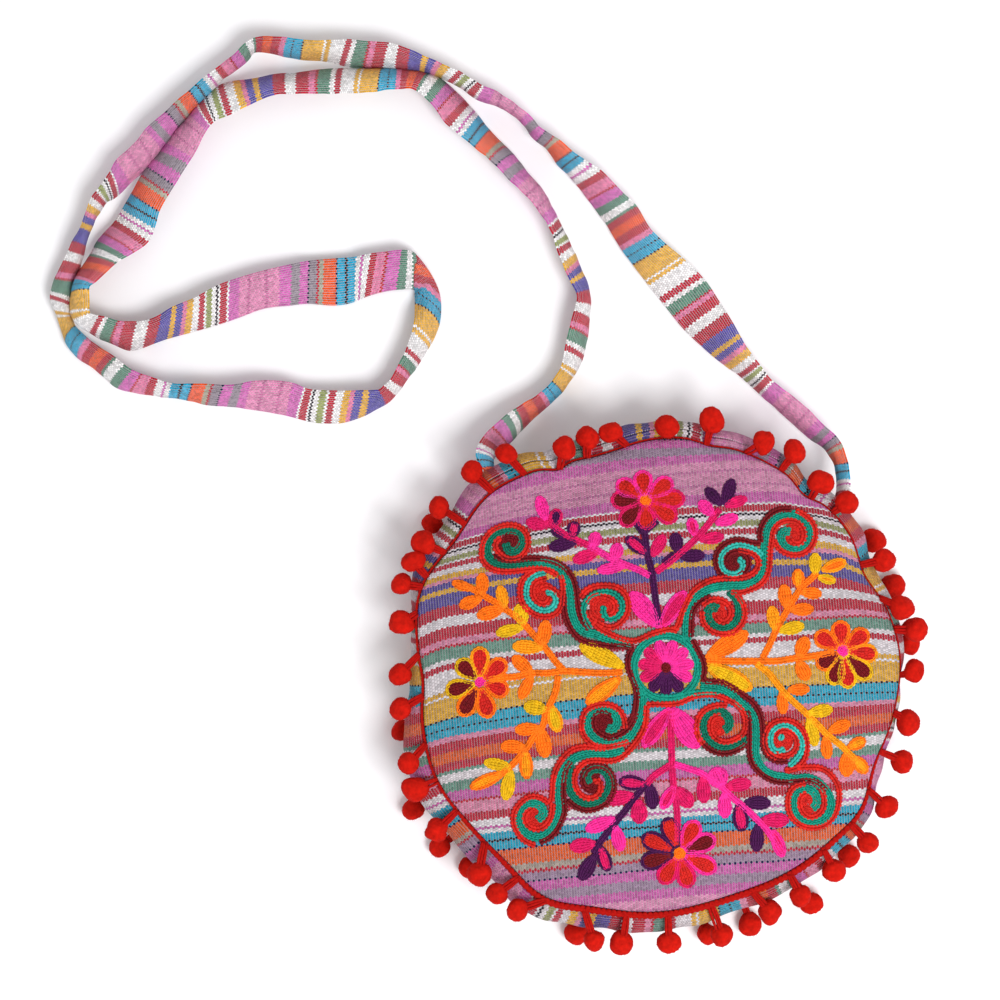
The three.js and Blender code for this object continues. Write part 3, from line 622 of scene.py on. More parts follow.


# Share of pale warp in the bag's cloth and the strap's, then the scales of the felt's relief and of the
# shade painted in its hollows
BAG_WARP, STRAP_WARP = 1.0, 1.9
POMPOM_SCALE, BRAID_SCALE, TAPE_SCALE, COIL_SCALE = 420.0, 900.0, 1500.0, 600.0
PANEL_WEAVE = woven("embroidered_stripe_weave", BAG_DYES_AND_SHADE, BAG_WARP)
BODY_WEAVE = woven("body_stripe_weave", BAG_DYES_AND_SHADE, BAG_WARP)
STRAP_WEAVE = woven("strap_stripe_weave", BAG_DYES_AND_SHADE | STRAP_DYES, STRAP_WARP)
POMPOM_FELT = felted("pompom_felt", POMPOM_RED, POMPOM_SCALE)
BRAID_WOOL = felted("braid_wool", BRAID_RED, BRAID_SCALE)
TAPE_CLOTH = felted("zip_tape_cloth", TAPE_DARK, TAPE_SCALE)
COIL_NYLON = felted("zip_coil", COIL_DARK, COIL_SCALE)
YARN = yarn()


# Panels

PANEL_GRID = 130


def disc(count):
    """A square grid pressed into a unit disc, as angles and shares of the radius."""
    side = np.linspace(-1, 1, count)
    u, v = np.meshgrid(side, side, indexing="ij")
    x, y = u * np.sqrt(1 - v ** 2 / 2), v * np.sqrt(1 - u ** 2 / 2)
    return np.arctan2(y, x), np.minimum(np.hypot(x, y), 1)


def panel_uv(x, y):
    """Ribs and picks at a place on the front or back panel."""
    angle = np.arctan2(y, x)
    share = np.minimum(np.hypot(x, y) / rim_radius(angle), 1)
    edge = np.maximum(0, share - EDGE_SHARE) / (1 - EDGE_SHARE)
    drop = sum(fall * edge ** 2 * lobe(angle, at, spread) for at, fall, spread in EDGE_DROPS)
    scale = PIXEL * (1 - (FRONT_SEAM_HEIGHT + CROWN * (1 - share ** CROWN_POWER)) / CAMERA_HEIGHT)
    over = PHOTO_SIDE / 2 + (x - CAMERA_X) / scale
    down = PHOTO_SIDE / 2 - (y + drop - CAMERA_Y) / scale
    chart = np.array(PANEL_CHART)
    lines = 0
    for i, column in enumerate(PANEL_COLUMNS):
        others = [other for other in PANEL_COLUMNS if other != column]
        weight = np.prod([(over - other) / (column - other) for other in others], axis=0)
        lines = lines + weight[:, None] * chart[:, i + 1]
    past = (down[:, None] - lines[:, :-1]) / np.diff(lines, axis=1)
    past[:, 0] = np.minimum(past[:, 0], 1)
    past[:, 1:-1] = np.clip(past[:, 1:-1], 0, 1)
    past[:, -1] = np.maximum(past[:, -1], 0)
    picks = chart[0, 0] + past @ np.diff(chart[:, 0])
    return np.stack([(x + STRIPE_TILT * y) / RIB, picks], axis=-1)


def cloth_panel(name, inset, upper_height, material, node):
    """A round wall of cloth in place of a panel's solid."""
    angle, share = disc(PANEL_GRID)
    radius = share * (rim_radius(angle) - inset)
    x, y = radius * np.cos(angle), radius * np.sin(angle)
    height = upper_height(x, y, share)
    upper = np.stack([x, y, height], axis=-1)
    lower = np.stack([x, y, height - CLOTH], axis=-1)
    points, faces = shell(upper, lower)
    flat = panel_uv(points[:, 0], points[:, 1])
    piece = add_mesh(name, points, faces, material, uv=flat, outward=True)
    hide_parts(node)
    return piece


front_cloth = cloth_panel("front_cloth", 0, lambda x, y, share: front_height(x, y), PANEL_WEAVE,
                          "front_panel")
back_cloth = cloth_panel("back_cloth", BACK_INSET, lambda x, y, share: back_height(share) + CLOTH,
                         BODY_WEAVE, "back_panel")


# Gusset and mouth

CREASE, CREASE_GRIP, CREASE_TURN = 0.7, 0.7, 6
CREASE_WAVES = (11, 6, 26, 9)
# A sheet narrower than this is declared at this width, with its own area
LOWER_STEPS, LOWER_ROWS = 300, 30
TOP_STEPS, FRONT_ROWS, BACK_ROWS, TAPE_ROWS = 110, 10, 28, 6
SEAM_STEP = math.degrees(GAP / 2 / SEAM_RADIUS)
LOWER_ANGLES = np.linspace(STRAP_SEAM_LEFT + SEAM_STEP, STRAP_SEAM_RIGHT + 360 - SEAM_STEP, LOWER_STEPS)
TOP_ANGLES = np.linspace(STRAP_SEAM_RIGHT + SEAM_STEP, STRAP_SEAM_LEFT - SEAM_STEP, TOP_STEPS)
WALL = (0.0, CLOTH)
TAPE_DEPTH = CLOTH + 2 * GAP
TAPE = (TAPE_DEPTH, TAPE_DEPTH + ZIP_THICKNESS)
COIL_TURN = (MOUTH_FRONT_LIP + MOUTH_BACK_LIP) / 2
COIL_PITCH, COIL_RADIUS, COIL_THREAD, COIL_SIDES = 0.75, 0.9, 0.35, 4
COIL_HIGH, COIL_DEEP, COIL_END, COIL_SAMPLES, COIL_STEPS = 0.7, 0.35, 2, 6000, 6


def band(name, angles, turns, depths, material, picks):
    """A strip of the gusset between two depths, with soft creases across it, its width and its length."""
    angle, turn = np.meshgrid(np.radians(angles), turns, indexing="ij")
    held = np.sin(turn) ** CREASE_GRIP
    crease = CREASE * held * ripple(*CREASE_WAVES, SEAM_RADIUS * angle, CREASE_TURN * turn)
    grids = []
    for depth in depths:
        radius, height = band_inside(angle, turn, depth - crease)
        grids.append(np.stack([radius * np.cos(angle), radius * np.sin(angle), height], axis=-1))
    points, faces = shell(*grids)
    degrees = np.degrees(angle).ravel()
    run = lengths(grids[0][len(grids[0]) // 2]) / RIB
    uv = np.stack([np.broadcast_to(run, angle.shape).ravel(), np.interp(degrees, *zip(*picks))], -1)
    piece = add_mesh(name, points, faces, material, uv=np.vstack([uv, uv]), outward=True)
    width = (run[-1] * RIB + CLOTH / 2) * MM
    long = np.mean([lengths(column)[-1] for column in grids[0].transpose(1, 0, 2)]) * MM
    return piece, width, float(long)


def sewn_strip(node, slot, rests_on, *strip):
    """A strip of the gusset in place of its solid."""
    piece, width, long = band(*strip)
    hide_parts(node)


PANELS = ["front_cloth", "back_cloth"]
LIPS = ["mouth_front_cloth", "mouth_back_cloth"]
sewn_strip("gusset_lower", "woven_stripe", PANELS, "gusset_lower_cloth", LOWER_ANGLES,
           np.linspace(0, math.pi, LOWER_ROWS), WALL, BODY_WEAVE, GUSSET_PICKS)
sewn_strip("gusset_top_front", "woven_stripe", PANELS, "mouth_front_cloth", TOP_ANGLES,
           np.linspace(0, MOUTH_FRONT_LIP, FRONT_ROWS), WALL, BODY_WEAVE, MOUTH_PICKS)
sewn_strip("gusset_top_back", "woven_stripe", PANELS, "mouth_back_cloth", TOP_ANGLES,
           np.linspace(MOUTH_BACK_LIP, math.pi, BACK_ROWS), WALL, BODY_WEAVE, MOUTH_PICKS)
sewn_strip("mouth_zip", "zip_tape", LIPS, "zip_tape", TOP_ANGLES,
           np.linspace(ZIP_FRONT_EDGE, ZIP_BACK_EDGE, TAPE_ROWS), TAPE, TAPE_CLOTH, MOUTH_PICKS)


def zip_coil():
    """A nylon coil along the mouth line."""
    spans = np.radians(np.linspace(TOP_ANGLES[COIL_END], TOP_ANGLES[-1 - COIL_END], COIL_SAMPLES))
    radius, height = band_inside(spans, np.full_like(spans, COIL_TURN), TAPE_DEPTH - COIL_THREAD)
    line = np.stack([radius * np.cos(spans), radius * np.sin(spans), height], axis=-1)
    run = lengths(line)
    wind = (2 * math.pi * run / COIL_PITCH)[:, None]
    out = np.stack([np.cos(spans), np.sin(spans), np.zeros_like(spans)], axis=-1)
    path = line + COIL_RADIUS * (np.cos(wind) * UP * COIL_HIGH + np.sin(wind) * out * COIL_DEEP)
    count = int(run[-1] / COIL_PITCH * COIL_STEPS)
    path = resample(path, np.linspace(0, lengths(path)[-1], count))
    return add_mesh("zip_coil", *tube(path, COIL_THREAD, COIL_SIDES), COIL_NYLON)


zip_coil()


# Strap

STRAP_STEP, STRAP_ACROSS, CHART_SPAN = 1.5, 17, 12
STRAP_SOFT, SOFT_REACH = 2.5, 4
ROLL_SHARE, ROLL_DEPTH = 0.5, 0.6
# Square of a shallow arc's rise over its chord, for each unit of slack
ARC_RISE = 3 / 8
LEAN_ROUNDS = 4
LEAST_TILT, LEAST_CUP = 5.5, 0.5
STRAP_WRINKLE, ROLL_WRINKLE = 0.4, 1.2
LONG_WRINKLE, LONG_WAVES = 0.6, (22, 8, 34, 12)
SHORT_WRINKLE, SHORT_WAVES = 0.5, (23, 8, 11, 6)
STRAP_BODY, EDGE_ROUND, THIN_EDGE, LEAST_LAYER = 0.85, 6, 0.02, 0.2
TOPSTITCH_IN, TOPSTITCH_DIP, TOPSTITCH_SPREAD = 2.1, 0.35, 0.6
END_RISE, END_REACH = 14.0, 26.0
DART_STEP, DART_REACH, DART_SPLIT = 1.5, 7.0, 0.01
STRAP_RIB = 1.15
HUMP_UP = 1.6
EDGE_IN = 0.6


def above(chart, height):
    """Places at the given heights that the camera sees at places in the photograph."""
    scale = PIXEL * (1 - np.asarray(height) / CAMERA_HEIGHT)[:, None]
    off = (np.asarray(chart, float) - PHOTO_SIDE / 2) * scale
    return np.column_stack([CAMERA_X + off[:, 0], CAMERA_Y - off[:, 1], height])


def eased(values, step):
    """Values smoothed along their rows over the strap's softness."""
    reach = int(SOFT_REACH * STRAP_SOFT / step)
    weight = bell(np.arange(-reach, reach + 1) * step, STRAP_SOFT)
    weight = weight / weight.sum()
    longer = [np.pad(column, reach, "reflect", reflect_type="odd") for column in values.T]
    return np.stack([np.convolve(column, weight, "valid") for column in longer], axis=-1)


def strap_edges():
    """Left edge, right edge, rolled width, place, pick and tuck of the strap, station by station."""
    rows = np.array(STRAP_CHART, float)
    smooth = spline(rows[:, :4], CHART_SPAN)
    run = lengths((smooth[:, :2] + smooth[:, 2:]) / 2 * PIXEL)
    at = np.linspace(0, run[-1], int(run[-1] / STRAP_STEP))
    turn = np.interp(-STRAP_DART[-1][0], -rows[:, 4], run[::CHART_SPAN])
    at = np.sort(np.concatenate([at, [turn - DART_SPLIT, turn + DART_SPLIT]]))
    picks = np.interp(at, run[::CHART_SPAN], rows[:, 4])
    edges = eased(resample(smooth, at, run), STRAP_STEP)
    side = np.interp(picks, *zip(*sorted(STRAP_TILT)))
    from_end = np.minimum(at, at[-1] - at)
    low = GAP + STRAP_THICKNESS / 2 + END_RISE * bell(from_end, END_REACH)
    low = low + np.interp(picks, *zip(*STRAP_LIFT))
    rise = np.full(len(at), LEAST_TILT)
    for _ in range(LEAN_ROUNDS):
        left = above(edges[:, :2], low + rise * np.maximum(side, 0))
        right = above(edges[:, 2:], low + rise * np.maximum(-side, 0))
        along = unit(np.gradient((left + right)[:, :2], axis=0))
        over = (left - right)[:, :2]
        seen = np.minimum(abs(along[:, 0] * over[:, 1] - along[:, 1] * over[:, 0]), STRAP_WIDTH)
        chord = STRAP_WIDTH * ROLL_SHARE + (1 - ROLL_SHARE) * seen
        lean = np.sqrt(np.maximum(chord ** 2 - seen ** 2, LEAST_TILT ** 2))
        rise = eased(lean[:, None], STRAP_STEP)[:, 0]
    past = at - turn
    drop = np.where(past > 0, DART_STEP * np.exp(-np.maximum(past, 0) / DART_REACH), 0)
    left[:, 2] -= drop
    right[:, 2] -= drop
    tuck = np.where(past > 0, np.interp(picks, *zip(*STRAP_DART)), 0)
    return left, right, chord / STRAP_WIDTH, at, picks, tuck


def strap():
    """The folded cloth strap along its charted route."""
    left, right, rolled, at, picks, tuck = strap_edges()
    centre = (left + right) / 2
    half, deep = STRAP_WIDTH / 2, STRAP_THICKNESS / 2
    along = unit(np.gradient(centre, at, axis=0))
    face = unit(np.cross(along, left - right))
    hump = unit(face + HUMP_UP * UP)
    share = np.sin(np.linspace(-1, 1, STRAP_ACROSS) * math.pi / 2)
    place, width = np.meshgrid(at, share * half, indexing="ij")
    across = width / half
    stitch = sum(bell(width - side * (half - TOPSTITCH_IN), TOPSTITCH_SPREAD) for side in (-1, 1))
    rounded = np.sqrt(np.maximum(0, 1 - across ** EDGE_ROUND))
    thick = np.maximum((deep * STRAP_BODY - TOPSTITCH_DIP * stitch) * rounded, THIN_EDGE)
    slack = (1 / rolled - 1)[:, None]
    cup = LEAST_CUP + ROLL_DEPTH * STRAP_WIDTH * rolled[:, None] * np.sqrt(ARC_RISE * slack)
    crumple = STRAP_WRINKLE + ROLL_WRINKLE * slack
    waves = (LONG_WRINKLE * ripple(*LONG_WAVES, place, width)
             + SHORT_WRINKLE * ripple(*SHORT_WAVES, place, width))
    lift = cup * (1 - across ** 2) + crumple * waves
    spread = ((left - right) / 2)[:, None] * across[..., None] * (1 - EDGE_IN / half)
    grids = []
    for side in (1, -1):
        off = face[:, None] * (side * thick)[..., None]
        grid = centre[:, None] + spread + off + hump[:, None] * lift[..., None]
        grid[..., 2] = np.maximum(grid[..., 2], GAP / 2 + LEAST_LAYER * (side + 1) / 2)
        grids.append(grid)
    points, faces = shell(*grids)
    woven_in = picks[:, None] - tuck[:, None] * (1 - across) / 2
    uv = np.stack([width.ravel() / STRAP_RIB, woven_in.ravel()], axis=-1)
    piece = add_mesh("strap_cloth", points, faces, STRAP_WEAVE, uv=np.vstack([uv, uv]), outward=True)
    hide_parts("strap")


strap()


# Chain stitch

PITCH_SHARES = (0.12, 0.52, 0.94)
SIDE_SHARES = (0.17, 0.27, 0.2)
THICK_SHARES = (0.23, 0.27, 0.24)
TAIL, HEAD = (-0.22, 0.06), (1.28, 0.08)
STITCH_HEIGHT, STITCH_END = 0.17, 0.6


def stitch_template():
    """Two plump strands of one chain stitch, as shares of its pitch, width and width."""
    points, faces = [], []
    for side in (1, -1):
        start = len(points)
        points.append((TAIL[0], side * TAIL[1], STITCH_HEIGHT * STITCH_END))
        for along, off, thick in zip(PITCH_SHARES, SIDE_SHARES, THICK_SHARES):
            for out, up in ((0, thick), (thick, 0), (0, -thick), (-thick, 0)):
                points.append((along, side * (off + out), STITCH_HEIGHT + up))
        points.append((HEAD[0], side * HEAD[1], STITCH_HEIGHT * STITCH_END))
        made = []
        last = start + 1 + 4 * len(PITCH_SHARES)
        for i in range(4):
            j = (i + 1) % 4
            made.append((start, start + 1 + j, start + 1 + i))
            made.append((last, last - 4 + i, last - 4 + j))
            for ring in range(len(PITCH_SHARES) - 1):
                a, b = start + 1 + 4 * ring, start + 5 + 4 * ring
                made += [(a + i, a + j, b + j), (a + i, b + j, b + i)]
        faces += [face if side < 0 else face[::-1] for face in made]
    return np.array(points), np.array(faces)


STITCH_POINTS, STITCH_FACES = stitch_template()


def chain(path, normals, width, pitch):
    """Chain stitches along a path, with the normals of what they lie on."""
    run = lengths(path)
    count = max(1, round(run[-1] / pitch))
    at = np.linspace(0, run[-1], count + 1)
    knots, up = resample(path, at, run), unit(resample(normals, at[:-1], run))
    step = np.diff(knots, axis=0)
    wide = np.interp(at[:-1], run, np.broadcast_to(width, run.shape))[:, None]
    side, up = unit(np.cross(up, step)) * wide, up * wide
    shape = STITCH_POINTS[None, :, :, None]
    points = (knots[:-1, None] + shape[:, :, 0] * step[:, None] + shape[:, :, 1] * side[:, None]
              + shape[:, :, 2] * up[:, None])
    faces = STITCH_FACES[None] + len(STITCH_POINTS) * np.arange(count)[:, None, None]
    return points.reshape(-1, 3), faces.reshape(-1, 3)


# Embroidery, charted on the photograph: places and widths are photograph pixels
STITCH_PITCH = 1.7
ROW, LANE, LANE_WIDTH = 6.8, 3.1, 1.3
# Widths of a row and of a pair's offset, for a single row, a pair of rows and a branch
SINGLE, TWIN, BRANCH = (ROW, 0.0), (5.0, 2.1), (4.2, 1.5)
CHART_STEP, LEAST_STEPS, LINE_SPAN = 1.5, 4, 10
YARN_SPREAD, PALEST, DEEPEST = 0.1, 1.4, 0.6
SURFACE_ROUNDS, SLOPE_STEP = 3, 1.0

# Scrolls from each corner to the roundel: yarn, rows, places along it
SCROLLS = [
    ("deep_green", TWIN, [
        (506, 543), (508, 550), (513, 552), (519, 549), (523, 541), (520, 533), (511, 530), (500, 531),
        (492, 537), (487, 545), (487, 554), (493, 561), (502, 564), (513, 565), (524, 564), (535, 563)]),
    ("teal", TWIN, [
        (535, 563), (546, 563), (555, 565), (562, 570), (566, 578), (569, 587), (571, 598), (571, 608),
        (574, 619), (578, 627), (585, 632), (595, 634), (605, 638), (618, 642), (632, 646)]),
    ("light_teal", SINGLE, [
        (546, 593), (551, 592), (555.5, 596.5), (555.5, 604), (550, 609.5), (541.5, 610.5), (533, 606),
        (527, 599), (526.5, 589), (529.5, 580), (536, 575), (545, 573)]),
    ("teal", SINGLE, [
        (604, 606), (603, 613), (608, 619), (616, 617.5), (622, 611), (622, 602), (615, 594), (605.5, 591.5),
        (594.5, 594), (587, 600), (583, 608), (585, 618), (590, 628)]),
    ("red", SINGLE, [
        (501, 538), (496, 541.5), (495.5, 548), (500, 554), (508, 559), (517, 558.5), (524, 553.5),
        (528, 546), (527.5, 536), (522, 528.5), (513, 525), (502.5, 526), (492, 531), (484.5, 540),
        (482, 550), (483, 560.5), (488.5, 567), (498, 571), (509, 571.5), (520, 570.5), (531, 569),
        (541.5, 568.5), (550, 570.5), (557, 575)]),
    ("dark_red", TWIN, [(506, 537), (513, 536), (516.5, 542), (513.5, 547)]),
    ("dark_red", SINGLE, [
        (495, 555), (499, 558), (506, 560.5), (516.5, 560), (528.5, 558), (539.5, 558.5), (550, 560.5),
        (561, 565), (568.5, 571.5), (573.5, 580), (576, 590), (577, 600), (578.5, 608.5), (580.5, 617),
        (585, 624.5), (589, 629)]),
    ("dark_red", SINGLE, [
        (564.5, 595.5), (564.5, 608.5), (566, 618), (571, 629), (577.5, 637.5), (587, 642), (600, 644.5),
        (614, 646), (626, 646), (632.5, 647.5)]),
    ("dark_red", SINGLE, [
        (632.5, 647.5), (629, 653.5), (627.5, 661.5), (629.5, 672), (634, 682), (636.5, 692),
        (636.5, 702.5), (634, 714.5), (626, 727)]),
    ("red", SINGLE, [
        (561, 575), (563, 584.5), (563, 595.5), (562, 604), (557, 613), (548, 616.5), (537, 615.5),
        (527.5, 609.5), (521.5, 601), (520, 591), (522, 581), (527.5, 575), (535, 570.5)]),
    ("red", SINGLE, [
        (546.5, 578), (535, 582), (532, 591), (534, 598.5), (540.5, 604), (547, 603), (550, 597.5)]),
    ("red", SINGLE, [(540.5, 589), (546, 586.5), (554.5, 590), (560.5, 597)]),
    ("red", SINGLE, [
        (580.5, 597.5), (585, 591), (593.5, 586.5), (604.5, 585.5), (615, 586.5), (624, 592), (628, 601),
        (628, 610.5), (624, 619), (616, 626), (606.5, 627), (598, 622.5), (590, 618), (588, 610.5)]),
    ("red", SINGLE, [
        (588, 604), (590.5, 597.5), (598, 595.5), (606.5, 596.5), (614, 601), (616, 607.5), (613, 614),
        (608.5, 615)]),
    ("red", SINGLE, [
        (592.5, 621.5), (600, 629), (611, 634.5), (622, 639), (632.5, 641), (640.5, 639), (650.5, 634),
        (661, 631), (671, 629), (677, 631)]),
    ("teal", TWIN, [
        (687, 640), (686.5, 628), (687.5, 615.5), (689.5, 606.5), (696.5, 596.5), (706.5, 590), (717, 587),
        (732.5, 585.5), (743.5, 585.5), (754, 582), (760.5, 576.5), (763.5, 568), (764, 557), (764.5, 548.5),
        (765, 537), (767, 527), (773.5, 519), (782.5, 515), (792, 514), (801, 518), (807.5, 526),
        (809.5, 534.5), (807.5, 543), (801, 549), (793, 550.5), (785.5, 547.5), (781, 541), (781, 534.5),
        (785.5, 531), (790, 532)]),
    ("light_teal", SINGLE, [
        (762, 556), (756.5, 550.5), (747.5, 546.5), (738, 545), (728, 548.5), (721.5, 555), (720, 563.5),
        (724, 571.5), (732.5, 574.5), (740, 572.5), (743, 566), (741.5, 560.5), (738, 559)]),
    ("deep_green", TWIN, [
        (729, 591), (737, 599.5), (739.5, 610), (737.5, 620), (730, 627.5), (721.5, 629.5), (713, 625.5),
        (708, 618), (708, 610), (713, 606.5), (718, 609)]),
    ("red", SINGLE, [
        (675, 630), (679, 623), (682, 612.5), (686.5, 602.5), (691.5, 593), (699.5, 586), (711, 580),
        (724, 578), (737, 578), (749, 575.5), (756.5, 570), (759, 562.5), (755, 555), (747.5, 552),
        (738, 550.5)]),
    ("red", SINGLE, [
        (730.5, 592), (739, 593), (749, 590), (758.5, 585.5), (765, 579), (768.5, 570), (769.5, 559.5),
        (770, 548.5), (771.5, 537.5), (773.5, 529), (780, 522.5), (789, 520.5), (797.5, 522.5), (803, 529),
        (804, 536.5), (801, 543), (794.5, 544), (790, 540)]),
    ("red", SINGLE, [
        (795.5, 510.5), (806, 516), (814, 526), (815, 536.5), (810.5, 547.5), (802, 554), (792, 555),
        (782.5, 552), (776, 545.5), (773.5, 540)]),
    ("dark_red", SINGLE, [
        (760.5, 543), (759.5, 533.5), (763, 522.5), (770.5, 514), (780, 509.5), (791, 509.5)]),
    ("dark_red", SINGLE, [
        (760.5, 543), (752, 543), (743.5, 540.5), (734.5, 540), (725, 544), (718, 550.5), (715.5, 559.5),
        (717, 568), (721.5, 574.5), (730.5, 578)]),
    ("dark_red", SINGLE, [
        (725, 559.5), (728, 554), (736, 551), (746.5, 555), (749, 563.5), (745.5, 571), (738, 575.5)]),
    ("dark_red", SINGLE, [
        (690.5, 637), (691.5, 626), (691.5, 615.5), (694.5, 607.5), (701.5, 600.5), (711, 597)]),
    ("red", SINGLE, [
        (736, 594), (742, 602.5), (745, 612.5), (742, 623.5), (733.5, 632), (721.5, 634), (711, 631),
        (703, 622), (701.5, 611.5)]),
    ("red", SINGLE, [
        (702, 605), (711, 599.5), (720.5, 599.5), (729, 605), (731.5, 613.5), (727, 621), (720.5, 622),
        (716, 617)]),
    ("dark_red", SINGLE, [
        (692.5, 640), (697.5, 649.5), (702.5, 659.5), (704.5, 670), (702.5, 678)]),
    ("dark_red", SINGLE, [
        (702.5, 678), (706.5, 682), (717, 681), (727, 684), (736, 690), (745.5, 696.5), (754.5, 704),
        (760, 714), (762, 724.5), (762.5, 735.5), (763, 746.5), (768.5, 756), (778, 761.5), (787, 760.5)]),
    ("teal", TWIN, [
        (700.5, 685), (712, 686), (722, 688), (732, 694), (740, 703), (749, 710.5), (754, 719), (755.5, 730),
        (755.5, 742), (755, 753), (758, 762.5), (764, 770.5), (774, 775.5), (785, 777), (795.5, 779),
        (806, 777.5), (815.5, 780.5), (823, 787), (829, 796), (831, 804), (830, 809), (826, 817), (816, 822),
        (806, 822), (796.5, 816), (793, 805), (794.5, 794), (802, 789), (810.5, 789.5), (816, 796),
        (816, 805), (812, 808)]),
    ("teal", SINGLE, [(660, 696.5), (671, 697.5), (687, 694), (703, 692), (719.5, 692)]),
    ("deep_green", TWIN, [
        (744.5, 735.5), (743.5, 741), (736, 745.5), (725, 748.5), (714, 745.5), (705.5, 737.5), (702.5, 729),
        (703.5, 719), (709, 713), (717.5, 710.5), (725, 714), (729.5, 720.5), (728.5, 727), (724, 730)]),
    ("light_teal", SINGLE, [
        (789, 766), (797.5, 757), (802, 748.5), (801, 739), (794.5, 730), (786, 725), (777, 727),
        (771, 733.5), (770, 742), (773, 749.5), (779, 751.5), (784, 748.5)]),
    ("light_teal", SINGLE, [(780, 740), (781.5, 734.5)]),
    ("red", SINGLE, [
        (660, 704), (671, 704), (681.5, 702), (692.5, 696.5), (703.5, 694.5), (714, 694.5), (725, 698.5),
        (736, 704), (743.5, 713), (745.5, 722.5), (743.5, 732.5), (736, 739), (725, 742), (716.5, 739),
        (711, 732.5), (710, 724.5), (713, 717), (720.5, 715)]),
    ("red", SINGLE, [
        (727, 705), (717.5, 705), (706.5, 708.5), (699, 716), (696.5, 726), (697.5, 735.5), (703.5, 744)]),
    ("dark_red", SINGLE, [(703.5, 744), (712, 750.5), (724, 753.5), (736, 750.5), (745.5, 744)]),
    ("dark_red", SINGLE, [
        (747, 710.5), (749, 722.5), (749, 733.5), (749, 744), (749.5, 755), (753, 765), (761, 773.5),
        (771.5, 780), (782.5, 782), (795.5, 781), (806, 780), (817, 782), (826, 790)]),
    ("red", SINGLE, [
        (784.5, 770), (795.5, 768), (804, 760.5), (806.5, 749.5), (806, 739), (801, 728), (792, 721.5),
        (781.5, 720), (771.5, 723.5), (766, 732), (764.5, 743), (768.5, 753), (777, 758)]),
    ("red", SINGLE, [
        (775, 735.5), (780.5, 730), (789, 731), (795.5, 737.5), (796.5, 746.5), (791, 754), (782.5, 756),
        (775, 753)]),
    ("red", SINGLE, [
        (786, 771), (795.5, 768), (806, 767), (821, 768), (831.5, 775.5), (838, 787), (839, 798.5),
        (836.5, 810), (831.5, 819), (823, 825.5), (811, 827.5), (800, 824.5), (790, 814.5), (787.5, 802.5),
        (789.5, 792), (795.5, 785.5), (805, 783)]),
    ("red", SINGLE, [
        (820.5, 787.5), (823.5, 796), (823.5, 807), (818, 814.5), (809.5, 817), (802, 811.5), (799, 802.5),
        (801, 795), (806, 793)]),
    ("teal", TWIN, [
        (639.5, 688), (642.5, 697.5), (642, 708), (639.5, 718), (634, 729), (628, 738), (617, 741),
        (608, 742.5), (599, 740.5), (591.5, 734.5), (587.5, 726.5), (588, 718.5), (593.5, 712), (603, 709.5),
        (612, 711), (617, 717.5), (617, 724.5), (612, 729.5), (607, 727.5)]),
    ("teal", TWIN, [
        (624, 749.5), (611, 753), (599, 753), (586.5, 754), (574, 758.5), (565, 768), (560, 780),
        (558.5, 792), (560, 804), (559.5, 812), (557, 820.5), (550, 831), (541, 837), (530.5, 835.5),
        (521.5, 827.5),
        (519, 817), (522.5, 807), (532, 802.5), (541, 806), (543.5, 814), (537.5, 819.5)]),
    ("deep_green", TWIN, [
        (571, 760), (568, 771.5), (568, 781.5), (571, 792), (578.5, 800), (587.5, 803), (597.5, 801),
        (606, 795), (610, 786.5), (609, 777.5), (604, 770.5), (595.5, 768.5), (588.5, 771.5), (586.5, 778.5),
        (589.5, 783.5)]),
    ("red", SINGLE, [
        (646.5, 705), (646, 715.5), (645, 725.5), (640.5, 735.5), (634.5, 744), (627.5, 752), (620, 758),
        (609, 761), (597.5, 760), (587.5, 761), (579.5, 766.5), (575.5, 773.5), (574.5, 782.5), (577.5, 791),
        (584.5, 797), (591.5, 798), (599, 794), (601, 786.5), (599, 779.5), (594, 782)]),
    ("red", SINGLE, [(660, 704), (651.5, 704), (646.5, 705)]),
    ("red", SINGLE, [
        (625.5, 743), (617, 745), (606, 747), (594.5, 745), (586.5, 739), (582, 730.5), (582, 720.5),
        (585.5, 711), (593.5, 706), (604, 704), (614, 706), (621, 712), (624.5, 720.5), (625.5, 728.5)]),
    ("red", SINGLE, [
        (628.5, 741), (621, 744), (601, 748), (583.5, 746.5), (572, 749.5), (563, 757.5), (556, 769),
        (553, 780.5), (552.5, 792), (550, 803.5), (547, 801), (538.5, 796.5), (529.5, 796.5), (520.5, 802.5),
        (514.5, 811.5), (513.5, 822), (517, 831), (524, 840), (535, 845)]),
    ("red", SINGLE, [
        (532, 808), (526, 812.5), (525, 820.5), (529.5, 826.5), (538.5, 829), (547, 824), (551.5, 815),
        (552.5, 803.5)]),
    ("dark_red", SINGLE, [
        (636.5, 700), (635.5, 710), (633.5, 720.5), (628.5, 728.5), (620, 734.5), (611, 738), (603, 735.5),
        (595.5, 729.5), (593.5, 721.5), (596.5, 714), (604, 712), (610, 716.5)]),
    ("dark_red", SINGLE, [
        (571, 761), (566, 769.5), (564, 779.5), (563.5, 792), (564, 802), (565, 812), (561.5, 820.5),
        (557, 830), (549, 838), (540, 842)]),
    ("dark_red", SINGLE, [
        (568, 800), (575.5, 806), (584.5, 810), (594.5, 809), (605, 804), (611, 797), (614, 787.5),
        (613, 777.5), (608, 769.5), (600, 765.5), (591.5, 766.5), (585.5, 771.5), (582.5, 779.5),
        (584.5, 786.5), (589.5, 787.5)]),
]

